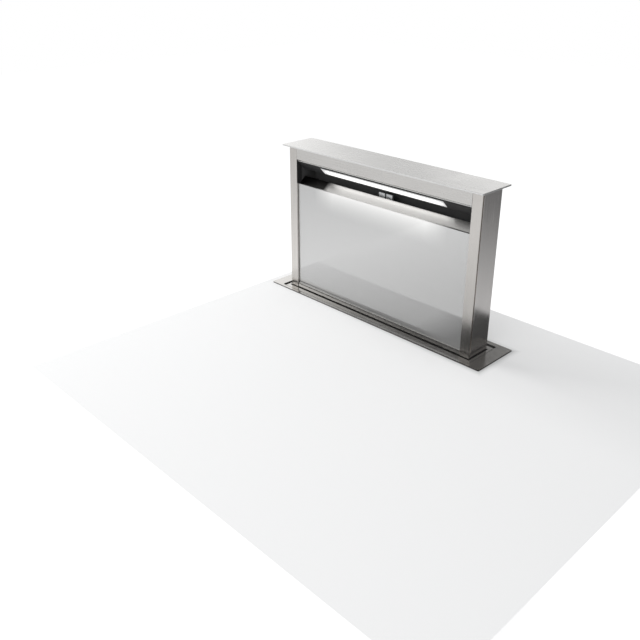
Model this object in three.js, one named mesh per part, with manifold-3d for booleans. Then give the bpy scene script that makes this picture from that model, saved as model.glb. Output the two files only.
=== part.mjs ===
// Downdraft vent: a motor-lifted extraction tower that rises out of a slot in the worktop.
// Millimetres, +Z up, +X to the right, +Y to the back. The exported group stands on its feet:
// its origin is the centre of the bounding box's base.
//
// Everything is drawn in the worktop frame (z = 0 on the trim's top face, y = 0 on the tower's
// front face, x = 0 on the centre line), and the whole group is then lifted onto its feet.

import * as THREE from "three";
import { mergeVertices } from "three/addons/utils/BufferGeometryUtils.js";
import Module from "manifold-3d";

const wasm = await Module();
wasm.setup();

// ---------------------------------------------------------------- driving dimensions

const SEAT = 0.3; // gap left between pieces that touch
const SHEET = 1.2; // folded steel sheet

// tower, the part that rises above the worktop
const TOWER_WIDTH = 487;
const TOWER_DEPTH = 58;
const TOWER_RISE = 318; // cap underside above the trim when raised
const TOWER_FOOT = 20; // how far the tower's shell reaches below the trim when raised
const UPRIGHT_WIDTH = 21;
const UPRIGHT_RETURN = 15; // depth of the folds behind an upright's front wall
const GROOVE_WIDTH = 3.4; // shadow groove between an upright and its side cover
const GROOVE_DEPTH = 4;

const CAP_THICKNESS = 3;
const CAP_SIDE_OVERHANG = 8.5;
const CAP_FRONT_OVERHANG = 13.5;
const CAP_REAR_OVERHANG = 14.5;
const CAP_CORNER = 2;

const BEAM_HEIGHT = 27;
const BEAM_FOLD = 6;
const LIGHT_TRIM_DROP = 3.2; // light trim below the beam's fold
const LIGHT_TRIM_DEPTH = 4;
const LIGHT_TRIM_THICKNESS = 1.2;

const LIGHT_LENGTH = 314; // lit length of the light bar
const LIGHT_FACE = 21; // width of its sloping face
const LIGHT_SLOPE = Math.PI / 4;
const LIGHT_TOP_Y = 5.5;
const LIGHT_TOP_DROP = 35; // top edge of the light's face below the cap
const LIGHT_CHANNEL_DEPTH = 12;
const LIGHT_CHANNEL_WALL = 1.5;
const DIFFUSER_THICKNESS = 2.5;

const GLASS_THICKNESS = 5;
const GLASS_RECESS = 4; // glass front behind the uprights' front faces
const GLASS_TOP = 238;
const GLASS_SIDE_GAP = 0.8;
const CARRIER_HOOK = 1.2;

const DEFLECTOR_RISE = 12.6; // sloping steel lip above the glass
const DEFLECTOR_RUN = 14.5;
const DEFLECTOR_LEG = 20;
const DEFLECTOR_REAR_LEG = 14;

const LINER_SHEET = 1;
const LINER_FRONT = 14;
const LINER_BOTTOM = 62;

const FILTER_THICKNESS = 10;
const FILTER_TOP = 247;
const FILTER_MIDDLE_GAP = 3;
const FILTER_BORDER = 9;
const FILTER_RIM = 1.5; // how far a cassette's rim stands proud of its mesh, each face
const HANDLE_SIZE = [16, 4, 12];
const TRAY_BASE = 6;
const TRAY_HEIGHT = 20;
const TRAY_HALF = 211;

// lift legs, racks and drive
const LEG_SIZE = 20;
const LEG_WALL = 2;
const LEG_TOP = 60;
const LEG_BOTTOM = -392;
const RACK_WIDTH = 16;
const RACK_BACKING = 5.9;
const RACK_TOP = -24;
const RACK_BOTTOM = -390;
const GEAR_MODULE = 2;
const PINION_TEETH = 16;
const PRESSURE_ANGLE = (20 * Math.PI) / 180;
const GEAR_ADDENDUM = 1.7;
const GEAR_DEDENDUM = 2.3;
const BACKLASH = 0.3;
const PINION_DROP = 370; // drive shaft's axis below the trim
const SHAFT_RADIUS = 5;
const SHAFT_BEYOND = 4; // shaft past the pinion's outer face
const BEARING_SIZE = [14, 26, 26];
const BEARING_INSET = 22; // bearing's middle inboard of the pinion's middle
const RUNNING = 0.1; // radial running clearance

const SHOE_LENGTH = 40;
const SHOE_CLEARANCE = 0.4;
const UPPER_SHOE_TOP = -35;
const LOWER_SHOE_RISE = 12; // above the legs' lower end
const RAIL_SHEET = 1.5;
const RAIL_TO_TOWER = 1.5;
const RAIL_TOP = -24;
const CROSSBAR_HEIGHT = 18;

const GEARBOX_SIZE = [56, 44, 52];
const MOTOR_RADIUS = 21;
const MOTOR_LENGTH = 96;
const MOTOR_CAP_RADIUS = 12;
const MOTOR_CAP_LENGTH = 8;

// worktop trim with the seat that the cap drops into
const TRIM_SIDE = 38.5; // trim beyond the tower
const TRIM_FRONT = 23.4;
const TRIM_REAR = 27.8;
const TRIM_THICKNESS = 2.4;
const TRIM_CORNER = 2;
const SEAT_CLEARANCE = 3; // pocket larger than the cap, each side
const SEAT_CORNER = 5;
const SEAT_WALL = 1.2;
const SEAT_FLOOR = 1.4;
const SLOT_CLEARANCE = 2.6;
const SLOT_CORNER = 1.5;
const SEAL_THICKNESS = 0.8;
const SEAL_DROP = 0.2;
const WIPER_CLEARANCE = 0.6;
const WIPER_WIDTH = 5.6;
const WIPER_HEIGHT = 5.4;
const CAP_REST = 0.4; // cap above the seat's floor when lowered

// housing below the worktop
const HOUSING_SIDE_ROOM = 12.5; // tower to the housing's outside
const HOUSING_FRONT_ROOM = 17;
const HOUSING_REAR_ROOM = 17;
const HOUSING_DROP = 716;
const FOOT_HEIGHT = 24;
const FOOT_RADIUS = 15;
const FOOT_PAD = 6;
const FOOT_STEM = 4;
const FOOT_NUT = 8;
const FOOT_NUT_HEIGHT = 6;
const FRONT_FEET_INSET = [31, 15]; // from the housing's end and front
const REAR_FEET_INSET = [20, 35.3]; // from the blower's end and back

// blower behind the housing
const BLOWER_HALF = 160;
const BLOWER_TOP = -420;
const BLOWER_DEPTH = 172;
const WHEEL_Z = -566;
const WHEEL_RADIUS = 95;
const WHEEL_INNER = 74;
const WHEEL_FRONT = 93;
const WHEEL_WIDTH = 78;
const WHEEL_BLADES = 30;
const BLADE_THICKNESS = 1.4;
const BLADE_TILT = (35 * Math.PI) / 180;
const WHEEL_RING = 3;
const HUB_RADIUS = 14;
const HUB_LENGTH = 22;
const STUB_RADIUS = 5;
const STUB_LENGTH = 17;
const FAN_MOTOR_RADIUS = 44;
const FAN_MOTOR_GAP = 7;
const INLET_RADIUS = 80;
const INLET_LIP = 16;
const INLET_FLANGE = 20;
const SCROLL_START = 103;
const SCROLL_END = 142;
const SCROLL_FROM = (-22 * Math.PI) / 180;
const SCROLL_STEPS = 28;
const COLLAR_RADIUS = 74.5;
const COLLAR_LENGTH = 52;
const COLLAR_WALL = 1.5;
const COLLAR_FLANGE = 9;
const COLLAR_BEAD = 2;
const COLLAR_Y = 161.3;
const COLLAR_Z = -506;
const FLAP_OFFSET = 3; // each flap's hinge line from the collar's middle
const FLAP_THICKNESS = 1;
const FLAP_CLEARANCE = 1.2;
const FLAP_INSET = 16; // flaps inside the collar's flange
const FLAP_KNUCKLE = 1.8;
const FLAP_PIN = 1;

// electrical box, mains inlet and clamps
const BOX_SIZE = [150, 34, 96];
const BOX_INSET = 61; // from the housing's end
const BOX_Z = -190;
const BOX_LID = 2;
const GLAND_RADIUS = 9;
const GLAND_BORE = 4;
const GLAND_LENGTH = 16;
const CLAMP_REACH = 22;
const CLAMP_WIDTH = 40;
const CLAMP_DROP = 70;
const CLAMP_HEIGHT = 34;
const CLAMP_SHEET = 2;
const CLAMP_SCREW = 3;
const CLAMP_SCREW_TOP = -41;

// ---------------------------------------------------------------- derived places

const towerHalf = TOWER_WIDTH / 2;
const towerMiddleY = TOWER_DEPTH / 2;
const uprightInner = towerHalf - UPRIGHT_WIDTH;
const bayHalf = uprightInner - SEAT; // what sits between the uprights
const towerTop = TOWER_RISE - SEAT;
const beamBottom = TOWER_RISE - BEAM_HEIGHT;
const grooveInner = towerHalf - GROOVE_DEPTH;
const coverFront = SHEET + GROOVE_WIDTH;
const coverInner = towerHalf - SHEET;
const backPanelFront = TOWER_DEPTH - SEAT - SHEET;
const travel = TOWER_RISE + TRIM_THICKNESS - CAP_REST;

const glassBack = GLASS_RECESS + GLASS_THICKNESS;
const carrierFront = glassBack + SEAT;
const deflectorRear = carrierFront + DEFLECTOR_RUN;
const filterFront = deflectorRear + SHEET + SEAT;
const filterBack = filterFront + FILTER_THICKNESS;
const linerHalf = uprightInner + SHEET;
const linerBack = backPanelFront - SEAT;
const innerHalf = linerHalf - LINER_SHEET - SEAT; // what sits between the liner's ends

const legOuter = coverInner - SEAT;
const legInner = legOuter - LEG_SIZE;
const legBack = backPanelFront - SEAT;
const legFront = legBack - LEG_SIZE;
const legMiddleX = (legInner + legOuter) / 2;
const pinionPitch = (GEAR_MODULE * PINION_TEETH) / 2;
const rackBack = legFront - SEAT;
const rackPitch = rackBack - RACK_BACKING - GEAR_DEDENDUM;
const pinionY = rackPitch - pinionPitch;
const pinionZ = -PINION_DROP;

const housingHalf = towerHalf + HOUSING_SIDE_ROOM;
const housingFront = -HOUSING_FRONT_ROOM;
const housingBack = TOWER_DEPTH + HOUSING_REAR_ROOM;
const housingInner = housingHalf - SHEET;
const housingFrontInner = housingFront + SHEET;
const housingBackInner = housingBack - SHEET;
const housingBase = -HOUSING_DROP;
const panelTop = -TRIM_THICKNESS - SEAT_FLOOR - SEAT;
const panelBottom = housingBase + SHEET + SEAT;

const blowerFront = housingBack + SEAT;
const blowerBack = blowerFront + BLOWER_DEPTH;
const frontFeet = [housingHalf - FRONT_FEET_INSET[0], housingFront + FRONT_FEET_INSET[1]];
const rearFeet = [BLOWER_HALF - REAR_FEET_INSET[0], blowerBack - REAR_FEET_INSET[1]];
const standHeight = HOUSING_DROP + FOOT_HEIGHT;
const boxFront = housingFront - 2 * SEAT - BOX_SIZE[1] - BOX_LID;
const depthCentre = (blowerBack + boxFront) / 2;

// ---------------------------------------------------------------- materials

const metal = (color, roughness) =>
  new THREE.MeshStandardMaterial({ color, roughness, metalness: 1 });
const solidColour = (color, roughness) =>
  new THREE.MeshStandardMaterial({ color, roughness, metalness: 0 });

const finishes = {
  brushedSteel: () => metal(0xc9c6c2, 0.28),
  polishedSteel: () => metal(0xbdb9b4, 0.14),
  zincSheet: () => metal(0xb2b5b6, 0.5),
  aluminium: () => metal(0xc4c6c8, 0.4),
  gearSteel: () => metal(0x8b8c8e, 0.35),
  greyGlass: () => solidColour(0xb9bbbb, 0.06),
  lightDiffuser: () => solidColour(0xffffff, 0.4),
  blackPaint: () => solidColour(0x101011, 0.5),
  blackRubber: () => solidColour(0x0c0c0c, 0.8),
  blackPlastic: () => solidColour(0x1b1c1d, 0.55),
  whitePlastic: () => solidColour(0xdcdcd8, 0.45),
};

// ---------------------------------------------------------------- geometry helpers

// A closed geometry as a solid that can be joined and cut.
function toSolid(geometry) {
  const bare = geometry.index ? geometry.toNonIndexed() : geometry.clone();
  bare.deleteAttribute("normal");
  bare.deleteAttribute("uv");
  const merged = mergeVertices(bare, 1e-4);
  return new wasm.Manifold(
    new wasm.Mesh({
      numProp: 3,
      vertProperties: new Float32Array(merged.attributes.position.array),
      triVerts: new Uint32Array(merged.index.array),
    }),
  );
}

function toGeometry(solid) {
  const mesh = solid.getMesh();
  const geometry = new THREE.BufferGeometry();
  geometry.setAttribute("position", new THREE.BufferAttribute(mesh.vertProperties, mesh.numProp));
  geometry.setIndex(new THREE.BufferAttribute(mesh.triVerts, 1));
  geometry.computeVertexNormals();
  return geometry;
}

const join = (first, ...rest) =>
  toGeometry(rest.reduce((solid, next) => solid.add(toSolid(next)), toSolid(first)));
const cut = (first, ...rest) =>
  toGeometry(rest.reduce((solid, next) => solid.subtract(toSolid(next)), toSolid(first)));
const common = (first, second) => toGeometry(toSolid(first).intersect(toSolid(second)));

// A box between two corners.
function block([x0, y0, z0], [x1, y1, z1]) {
  const geometry = new THREE.BoxGeometry(x1 - x0, y1 - y0, z1 - z0);
  return geometry.translate((x0 + x1) / 2, (y0 + y1) / 2, (z0 + z1) / 2);
}

// A box given by its middle and its size.
function blockAt([x, y, z], [width, depth, height]) {
  return new THREE.BoxGeometry(width, depth, height).translate(x, y, z);
}

function cylinder(axis, [x, y, z], radius, length, sides = 32) {
  const geometry = new THREE.CylinderGeometry(radius, radius, length, sides);
  if (axis === "x") geometry.rotateZ(Math.PI / 2);
  if (axis === "z") geometry.rotateX(Math.PI / 2);
  return geometry.translate(x, y, z);
}

function outline(points) {
  return new THREE.Shape(points.map(([a, b]) => new THREE.Vector2(a, b)));
}

// A plan outline (x, y) drawn up from one height to another.
function extrudeUp(shape, low, high) {
  const options = { depth: high - low, bevelEnabled: false, curveSegments: 6 };
  return new THREE.ExtrudeGeometry(shape, options).translate(0, 0, low);
}

// A side section (y, z) drawn along X from one place to another.
function extrudeAcross(shape, left, right) {
  const options = { depth: right - left, bevelEnabled: false, curveSegments: 6 };
  const geometry = new THREE.ExtrudeGeometry(shape, options);
  return geometry.rotateX(Math.PI / 2).rotateZ(Math.PI / 2).translate(left, 0, 0);
}

// A front outline (x, z) drawn back along Y from one depth to another.
function extrudeBack(shape, front, back) {
  const options = { depth: back - front, bevelEnabled: false, curveSegments: 6 };
  return new THREE.ExtrudeGeometry(shape, options).rotateX(Math.PI / 2).translate(0, back, 0);
}

function roundedRectangle(x0, y0, x1, y1, corner) {
  const shape = new THREE.Shape();
  shape.moveTo(x0 + corner, y0);
  shape.lineTo(x1 - corner, y0);
  shape.absarc(x1 - corner, y0 + corner, corner, -Math.PI / 2, 0);
  shape.lineTo(x1, y1 - corner);
  shape.absarc(x1 - corner, y1 - corner, corner, 0, Math.PI / 2);
  shape.lineTo(x0 + corner, y1);
  shape.absarc(x0 + corner, y1 - corner, corner, Math.PI / 2, Math.PI);
  shape.lineTo(x0, y0 + corner);
  shape.absarc(x0 + corner, y0 + corner, corner, Math.PI, 1.5 * Math.PI);
  return shape;
}

// The tower's footprint, grown by the same margin all round.
const footprint = (margin, corner) =>
  roundedRectangle(
    -towerHalf - margin,
    -margin,
    towerHalf + margin,
    TOWER_DEPTH + margin,
    corner,
  );

// The cap's footprint, grown by the same margin all round.
const capFootprint = (margin, corner) =>
  roundedRectangle(
    -towerHalf - CAP_SIDE_OVERHANG - margin,
    -CAP_FRONT_OVERHANG - margin,
    towerHalf + CAP_SIDE_OVERHANG + margin,
    TOWER_DEPTH + CAP_REAR_OVERHANG + margin,
    corner,
  );

// The same piece on the other side of the centre line.
function mirrored(geometry) {
  const copy = (geometry.index ? geometry.toNonIndexed() : geometry.clone()).scale(-1, 1, 1);
  const place = copy.attributes.position;
  const first = new THREE.Vector3();
  const second = new THREE.Vector3();
  for (let i = 0; i < place.count; i += 3) {
    first.fromBufferAttribute(place, i + 1);
    second.fromBufferAttribute(place, i + 2);
    place.setXYZ(i + 1, second.x, second.y, second.z);
    place.setXYZ(i + 2, first.x, first.y, first.z);
  }
  copy.deleteAttribute("normal");
  copy.computeVertexNormals();
  return copy;
}

function add(group, name, geometry, material) {
  const mesh = new THREE.Mesh(geometry, material);
  mesh.name = name;
  group.add(mesh);
  return mesh;
}

// A right-hand piece and its mirror image.
function addPair(group, name, geometry, material) {
  add(group, `${name}_right`, geometry, material());
  add(group, `${name}_left`, mirrored(geometry), material());
}

// ---------------------------------------------------------------- tower

// Channel-section upright: front wall and two folds, seen in plan.
function upright() {
  const inner = uprightInner;
  const foldBack = UPRIGHT_RETURN;
  const plan = outline([
    [inner, 0],
    [towerHalf, 0],
    [towerHalf, SHEET],
    [grooveInner, SHEET],
    [grooveInner, foldBack],
    [grooveInner - SHEET, foldBack],
    [grooveInner - SHEET, SHEET],
    [inner + SHEET, SHEET],
    [inner + SHEET, LINER_FRONT - SEAT],
    [inner, LINER_FRONT - SEAT],
  ]);
  return extrudeUp(plan, -TOWER_FOOT, towerTop);
}

// Side cover with a fold that closes the shadow groove.
function sideCover() {
  const plan = outline([
    [grooveInner + SEAT, coverFront],
    [towerHalf, coverFront],
    [towerHalf, TOWER_DEPTH],
    [coverInner, TOWER_DEPTH],
    [coverInner, coverFront + SHEET],
    [grooveInner + SEAT, coverFront + SHEET],
  ]);
  return extrudeUp(plan, -TOWER_FOOT, towerTop);
}

function backPanel() {
  const half = coverInner - SEAT;
  return block([-half, backPanelFront, -TOWER_FOOT], [half, TOWER_DEPTH - SEAT, towerTop]);
}

function topBeam() {
  const top = towerTop;
  const section = outline([
    [0, beamBottom],
    [BEAM_FOLD, beamBottom],
    [BEAM_FOLD, beamBottom + SHEET],
    [SHEET, beamBottom + SHEET],
    [SHEET, top - SHEET],
    [LINER_FRONT, top - SHEET],
    [LINER_FRONT, top],
    [0, top],
  ]);
  return extrudeAcross(section, -bayHalf, bayHalf);
}

function capPlate() {
  return extrudeUp(capFootprint(0, CAP_CORNER), TOWER_RISE, TOWER_RISE + CAP_THICKNESS);
}

// A point of the light bar's section: along its sloping face, and in from it.
function lightPoint(along, inward) {
  const down = Math.sin(LIGHT_SLOPE);
  const back = Math.cos(LIGHT_SLOPE);
  return [
    LIGHT_TOP_Y + along * back + inward * down,
    TOWER_RISE - LIGHT_TOP_DROP - along * down + inward * back,
  ];
}

function lightSection(alongFrom, alongTo, inwardFrom, inwardTo) {
  return outline([
    lightPoint(alongFrom, inwardFrom),
    lightPoint(alongTo, inwardFrom),
    lightPoint(alongTo, inwardTo),
    lightPoint(alongFrom, inwardTo),
  ]);
}

function lightChannel() {
  const wall = LIGHT_CHANNEL_WALL;
  const body = extrudeAcross(
    lightSection(-wall, LIGHT_FACE + wall, 0, LIGHT_CHANNEL_DEPTH),
    -innerHalf,
    innerHalf,
  );
  const pocket = extrudeAcross(
    lightSection(0, LIGHT_FACE, -wall, LIGHT_CHANNEL_DEPTH - wall),
    -LIGHT_LENGTH / 2,
    LIGHT_LENGTH / 2,
  );
  return cut(body, pocket);
}

function lightDiffuser() {
  const half = LIGHT_LENGTH / 2 - SEAT;
  return extrudeAcross(lightSection(SEAT, LIGHT_FACE - SEAT, 0, DIFFUSER_THICKNESS), -half, half);
}

// Bright strip that closes the gap between the beam and the light bar.
function lightTrim() {
  const top = beamBottom - SEAT;
  const front = BEAM_FOLD - LIGHT_TRIM_DEPTH;
  const section = outline([
    [BEAM_FOLD - LIGHT_TRIM_THICKNESS, top],
    [BEAM_FOLD - LIGHT_TRIM_THICKNESS, top - LIGHT_TRIM_DROP + LIGHT_TRIM_THICKNESS],
    [front, top - LIGHT_TRIM_DROP + LIGHT_TRIM_THICKNESS],
    [front, top - LIGHT_TRIM_DROP],
    [BEAM_FOLD, top - LIGHT_TRIM_DROP],
    [BEAM_FOLD, top],
  ]);
  return extrudeAcross(section, -bayHalf, bayHalf);
}

// Sloping lip above the glass, with a leg behind the glass and one inside the mouth.
function mouthDeflector() {
  const low = GLASS_TOP + SEAT;
  const rearTop = low + DEFLECTOR_RISE;
  const rear = deflectorRear;
  const section = outline([
    [carrierFront, low],
    [rear, rearTop],
    [rear + SHEET, rearTop],
    [rear + SHEET, rearTop - DEFLECTOR_REAR_LEG],
    [rear, rearTop - DEFLECTOR_REAR_LEG],
    [rear, rearTop - SHEET * 1.5],
    [carrierFront + SHEET, low - SHEET],
    [carrierFront + SHEET, low - DEFLECTOR_LEG],
    [carrierFront, low - DEFLECTOR_LEG],
  ]);
  return extrudeAcross(section, -innerHalf, innerHalf);
}

function glassPanel() {
  const half = uprightInner - GLASS_SIDE_GAP;
  const bottom = -TOWER_FOOT + CARRIER_HOOK + SEAT;
  return block([-half, GLASS_RECESS, bottom], [half, glassBack, GLASS_TOP]);
}

// Steel tray behind the glass that hooks under its lower edge.
function glassCarrier() {
  const top = GLASS_TOP - DEFLECTOR_LEG;
  const section = outline([
    [GLASS_RECESS, -TOWER_FOOT],
    [carrierFront + SHEET, -TOWER_FOOT],
    [carrierFront + SHEET, top],
    [carrierFront, top],
    [carrierFront, -TOWER_FOOT + CARRIER_HOOK],
    [GLASS_RECESS, -TOWER_FOOT + CARRIER_HOOK],
  ]);
  return extrudeAcross(section, -bayHalf, bayHalf);
}

// Dark U-shaped liner: the mouth's back wall and its two ends.
function mouthLiner() {
  const plan = outline([
    [-linerHalf, LINER_FRONT],
    [-linerHalf + LINER_SHEET, LINER_FRONT],
    [-linerHalf + LINER_SHEET, linerBack - LINER_SHEET],
    [linerHalf - LINER_SHEET, linerBack - LINER_SHEET],
    [linerHalf - LINER_SHEET, LINER_FRONT],
    [linerHalf, LINER_FRONT],
    [linerHalf, linerBack],
    [-linerHalf, linerBack],
  ]);
  return extrudeUp(plan, LINER_BOTTOM, towerTop - SHEET - SEAT);
}

// Filter cassette: rim, mesh pack and a grip at the inner end of its top.
function filterCassette() {
  const left = FILTER_MIDDLE_GAP / 2;
  const right = TRAY_HALF - SHEET - SEAT;
  const bottom = TRAY_BASE + SHEET + SEAT;
  const pack = [left + FILTER_BORDER, right - FILTER_BORDER];
  const frame = block([left, filterFront, bottom], [right, filterBack, FILTER_TOP]);
  const frontPocket = block(
    [pack[0], filterFront - SHEET, bottom + FILTER_BORDER],
    [pack[1], filterFront + FILTER_RIM, FILTER_TOP - FILTER_BORDER],
  );
  const rearPocket = block(
    [pack[0], filterBack - FILTER_RIM, bottom + FILTER_BORDER],
    [pack[1], filterBack + SHEET, FILTER_TOP - FILTER_BORDER],
  );
  const [width, depth, height] = HANDLE_SIZE;
  const grip = blockAt(
    [left + width / 2, filterBack - depth / 2, FILTER_TOP + height / 2 - SHEET],
    [width, depth, height],
  );
  return join(cut(frame, frontPocket, rearPocket), grip);
}

// Tray that carries the cassettes, catches what drips and closes the space behind them.
function dripTray() {
  const front = filterFront - SEAT - SHEET;
  const back = linerBack;
  const outer = block([-TRAY_HALF, front, TRAY_BASE], [TRAY_HALF, back, TRAY_BASE + TRAY_HEIGHT]);
  const inner = block(
    [-TRAY_HALF + SHEET, front + SHEET, TRAY_BASE + SHEET],
    [TRAY_HALF - SHEET, back - SHEET, TRAY_BASE + TRAY_HEIGHT + SHEET],
  );
  const ears = block(
    [-legInner + SEAT, back - SHEET, TRAY_BASE + SHEET],
    [legInner - SEAT, back, TRAY_BASE + TRAY_HEIGHT],
  );
  return join(cut(outer, inner), ears);
}

// ---------------------------------------------------------------- lift

function liftLeg() {
  const outer = block([legInner, legFront, LEG_BOTTOM], [legOuter, legBack, LEG_TOP]);
  const bore = block(
    [legInner + LEG_WALL, legFront + LEG_WALL, LEG_BOTTOM - LEG_WALL],
    [legOuter - LEG_WALL, legBack - LEG_WALL, LEG_TOP + LEG_WALL],
  );
  return cut(outer, bore);
}

// Straight-flanked rack whose teeth face the front, in step with the pinion at pinionZ.
function rack() {
  const pitch = Math.PI * GEAR_MODULE;
  const slope = Math.tan(PRESSURE_ANGLE);
  const tipHalf = pitch / 4 - GEAR_ADDENDUM * slope - BACKLASH / 2;
  const rootHalf = pitch / 4 + GEAR_DEDENDUM * slope - BACKLASH / 2;
  const tip = rackPitch - GEAR_ADDENDUM;
  const root = rackPitch + GEAR_DEDENDUM;
  const points = [
    [rackBack, RACK_BOTTOM],
    [root, RACK_BOTTOM],
  ];
  const first = Math.ceil((RACK_BOTTOM + rootHalf - pinionZ) / pitch - 0.5);
  const last = Math.floor((RACK_TOP - rootHalf - pinionZ) / pitch - 0.5);
  for (let tooth = first; tooth <= last; tooth += 1) {
    const z = pinionZ + (tooth + 0.5) * pitch;
    points.push([root, z - rootHalf], [tip, z - tipHalf], [tip, z + tipHalf], [root, z + rootHalf]);
  }
  points.push([root, RACK_TOP], [rackBack, RACK_TOP]);
  const left = legMiddleX - RACK_WIDTH / 2;
  return extrudeAcross(outline(points.reverse()), left, left + RACK_WIDTH);
}

// Involute pinion with one tooth pointing straight at the rack.
function pinion() {
  const base = pinionPitch * Math.cos(PRESSURE_ANGLE);
  const tipRadius = pinionPitch + GEAR_ADDENDUM;
  const rootRadius = pinionPitch - GEAR_DEDENDUM;
  const involute = (radius) => {
    const angle = Math.acos(Math.min(1, base / radius));
    return Math.tan(angle) - angle;
  };
  const pitchHalf = Math.PI / (2 * PINION_TEETH) - BACKLASH / (2 * pinionPitch);
  const halfAngle = (radius) =>
    pitchHalf + involute(pinionPitch) - involute(Math.max(radius, base));
  const flank = [base, (base + tipRadius) / 2 - GEAR_MODULE / 4, pinionPitch + 1, tipRadius];
  const points = [];
  const put = (radius, angle) =>
    points.push([pinionY + radius * Math.cos(angle), pinionZ + radius * Math.sin(angle)]);
  for (let tooth = 0; tooth < PINION_TEETH; tooth += 1) {
    const middle = (tooth * 2 * Math.PI) / PINION_TEETH;
    put(rootRadius, middle - halfAngle(base));
    flank.forEach((radius) => put(radius, middle - halfAngle(radius)));
    flank.toReversed().forEach((radius) => put(radius, middle + halfAngle(radius)));
    put(rootRadius, middle + halfAngle(base));
  }
  const left = legMiddleX - RACK_WIDTH / 2;
  const wheel = extrudeAcross(outline(points), left, left + RACK_WIDTH);
  const bore = cylinder("x", [legMiddleX, pinionY, pinionZ], SHAFT_RADIUS + SEAT, RACK_WIDTH * 2, 24);
  return cut(wheel, bore);
}

function driveShaft() {
  const length = 2 * (legMiddleX + RACK_WIDTH / 2 + SHAFT_BEYOND);
  return cylinder("x", [0, pinionY, pinionZ], SHAFT_RADIUS, length, 24);
}

// Pillow block that stands on the front panel and carries the shaft.
function shaftBearing() {
  const [width, , height] = BEARING_SIZE;
  const x = legMiddleX - BEARING_INSET;
  const body = block(
    [x - width / 2, housingFrontInner + SEAT, pinionZ - height / 2],
    [x + width / 2, pinionY + BEARING_SIZE[1] / 2, pinionZ + height / 2],
  );
  return cut(body, cylinder("x", [x, pinionY, pinionZ], SHAFT_RADIUS + RUNNING, width * 2, 24));
}

function liftGearbox() {
  const [width, , height] = GEARBOX_SIZE;
  const body = block(
    [-width / 2, housingFrontInner + SEAT, pinionZ - height / 2],
    [width / 2, pinionY + GEARBOX_SIZE[1] / 2, pinionZ + height / 2],
  );
  return cut(body, cylinder("x", [0, pinionY, pinionZ], SHAFT_RADIUS + RUNNING, width * 2, 24));
}

// Lift motor that hangs under the gearbox, with a stepped end cap.
function liftMotor() {
  const top = pinionZ - GEARBOX_SIZE[2] / 2 - SEAT;
  const can = cylinder("z", [0, pinionY, top - MOTOR_LENGTH / 2], MOTOR_RADIUS, MOTOR_LENGTH);
  const capLength = MOTOR_CAP_LENGTH + SHEET;
  const endZ = top - MOTOR_LENGTH - capLength / 2 + SHEET;
  return join(can, cylinder("z", [0, pinionY, endZ], MOTOR_CAP_RADIUS, capLength, 24));
}

function glideShoe(top) {
  return block(
    [legOuter + SEAT, legFront + SHOE_CLEARANCE, top - SHOE_LENGTH],
    [housingInner - SEAT - RAIL_SHEET - SHOE_CLEARANCE, legBack - SHOE_CLEARANCE, top],
  );
}

// Channel on the housing's side that the shoes run in.
function guideRail() {
  const inner = towerHalf + RAIL_TO_TOWER;
  const outer = housingInner - SEAT;
  const front = legFront - RAIL_SHEET;
  const back = legBack + RAIL_SHEET;
  const plan = outline([
    [inner, front],
    [outer, front],
    [outer, back],
    [inner, back],
    [inner, legBack],
    [outer - RAIL_SHEET, legBack],
    [outer - RAIL_SHEET, legFront],
    [inner, legFront],
  ]);
  return extrudeUp(plan, panelBottom, RAIL_TOP);
}

// Bar that ties the two legs together at their lower ends.
function crossbar() {
  const half = legInner - SEAT;
  const high = LEG_BOTTOM + CROSSBAR_HEIGHT;
  return block([-half, legFront + LEG_WALL, LEG_BOTTOM], [half, legBack - LEG_WALL, high]);
}

// ---------------------------------------------------------------- worktop trim

const trimPlan = () =>
  roundedRectangle(
    -towerHalf - TRIM_SIDE,
    -TRIM_FRONT,
    towerHalf + TRIM_SIDE,
    TOWER_DEPTH + TRIM_REAR,
    TRIM_CORNER,
  );

// Trim plate with the pressed seat for the cap and the slot for the tower.
function worktopTrim() {
  const floorTop = -TRIM_THICKNESS;
  const floorBottom = floorTop - SEAT_FLOOR;
  const plate = extrudeUp(trimPlan(), -TRIM_THICKNESS, 0);
  const pan = extrudeUp(
    capFootprint(SEAT_CLEARANCE + SEAT_WALL, SEAT_CORNER + SEAT_WALL),
    floorBottom,
    -SEAT_FLOOR / 2,
  );
  const pocket = extrudeUp(capFootprint(SEAT_CLEARANCE, SEAT_CORNER), floorTop, SEAT_FLOOR);
  const slot = extrudeUp(footprint(SLOT_CLEARANCE, SLOT_CORNER), floorBottom - SHEET, SHEET);
  return cut(join(plate, pan), pocket, slot);
}

// Soft lining of the seat's wall.
function seatSeal() {
  const low = -TRIM_THICKNESS + SEAT;
  const gap = SEAT_CLEARANCE - SEAT;
  const inside = gap - SEAL_THICKNESS;
  const ring = extrudeUp(capFootprint(gap, SEAT_CORNER), low, -SEAL_DROP);
  const hole = extrudeUp(capFootprint(inside, SEAT_CORNER - SEAL_THICKNESS), low - SHEET, SHEET);
  return cut(ring, hole);
}

// Wiper lip under the slot that closes the gap round the tower.
function slotWiper() {
  const top = panelTop;
  const ring = extrudeUp(footprint(WIPER_CLEARANCE + WIPER_WIDTH, SEAT_CORNER), top - WIPER_HEIGHT, top);
  const hole = extrudeUp(footprint(WIPER_CLEARANCE, SLOT_CORNER), top - WIPER_HEIGHT - SHEET, top + SHEET);
  return cut(ring, hole);
}

// ---------------------------------------------------------------- housing

function frontPanel() {
  const half = housingInner - SEAT;
  return block([-half, housingFront, panelBottom], [half, housingFrontInner, panelTop]);
}

function rearPanel() {
  const half = housingInner - SEAT;
  const plate = block([-half, housingBackInner, panelBottom], [half, housingBack, panelTop]);
  return cut(plate, cylinder("y", [0, housingBack, WHEEL_Z], INLET_RADIUS, SHEET * 4, 48));
}

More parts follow.
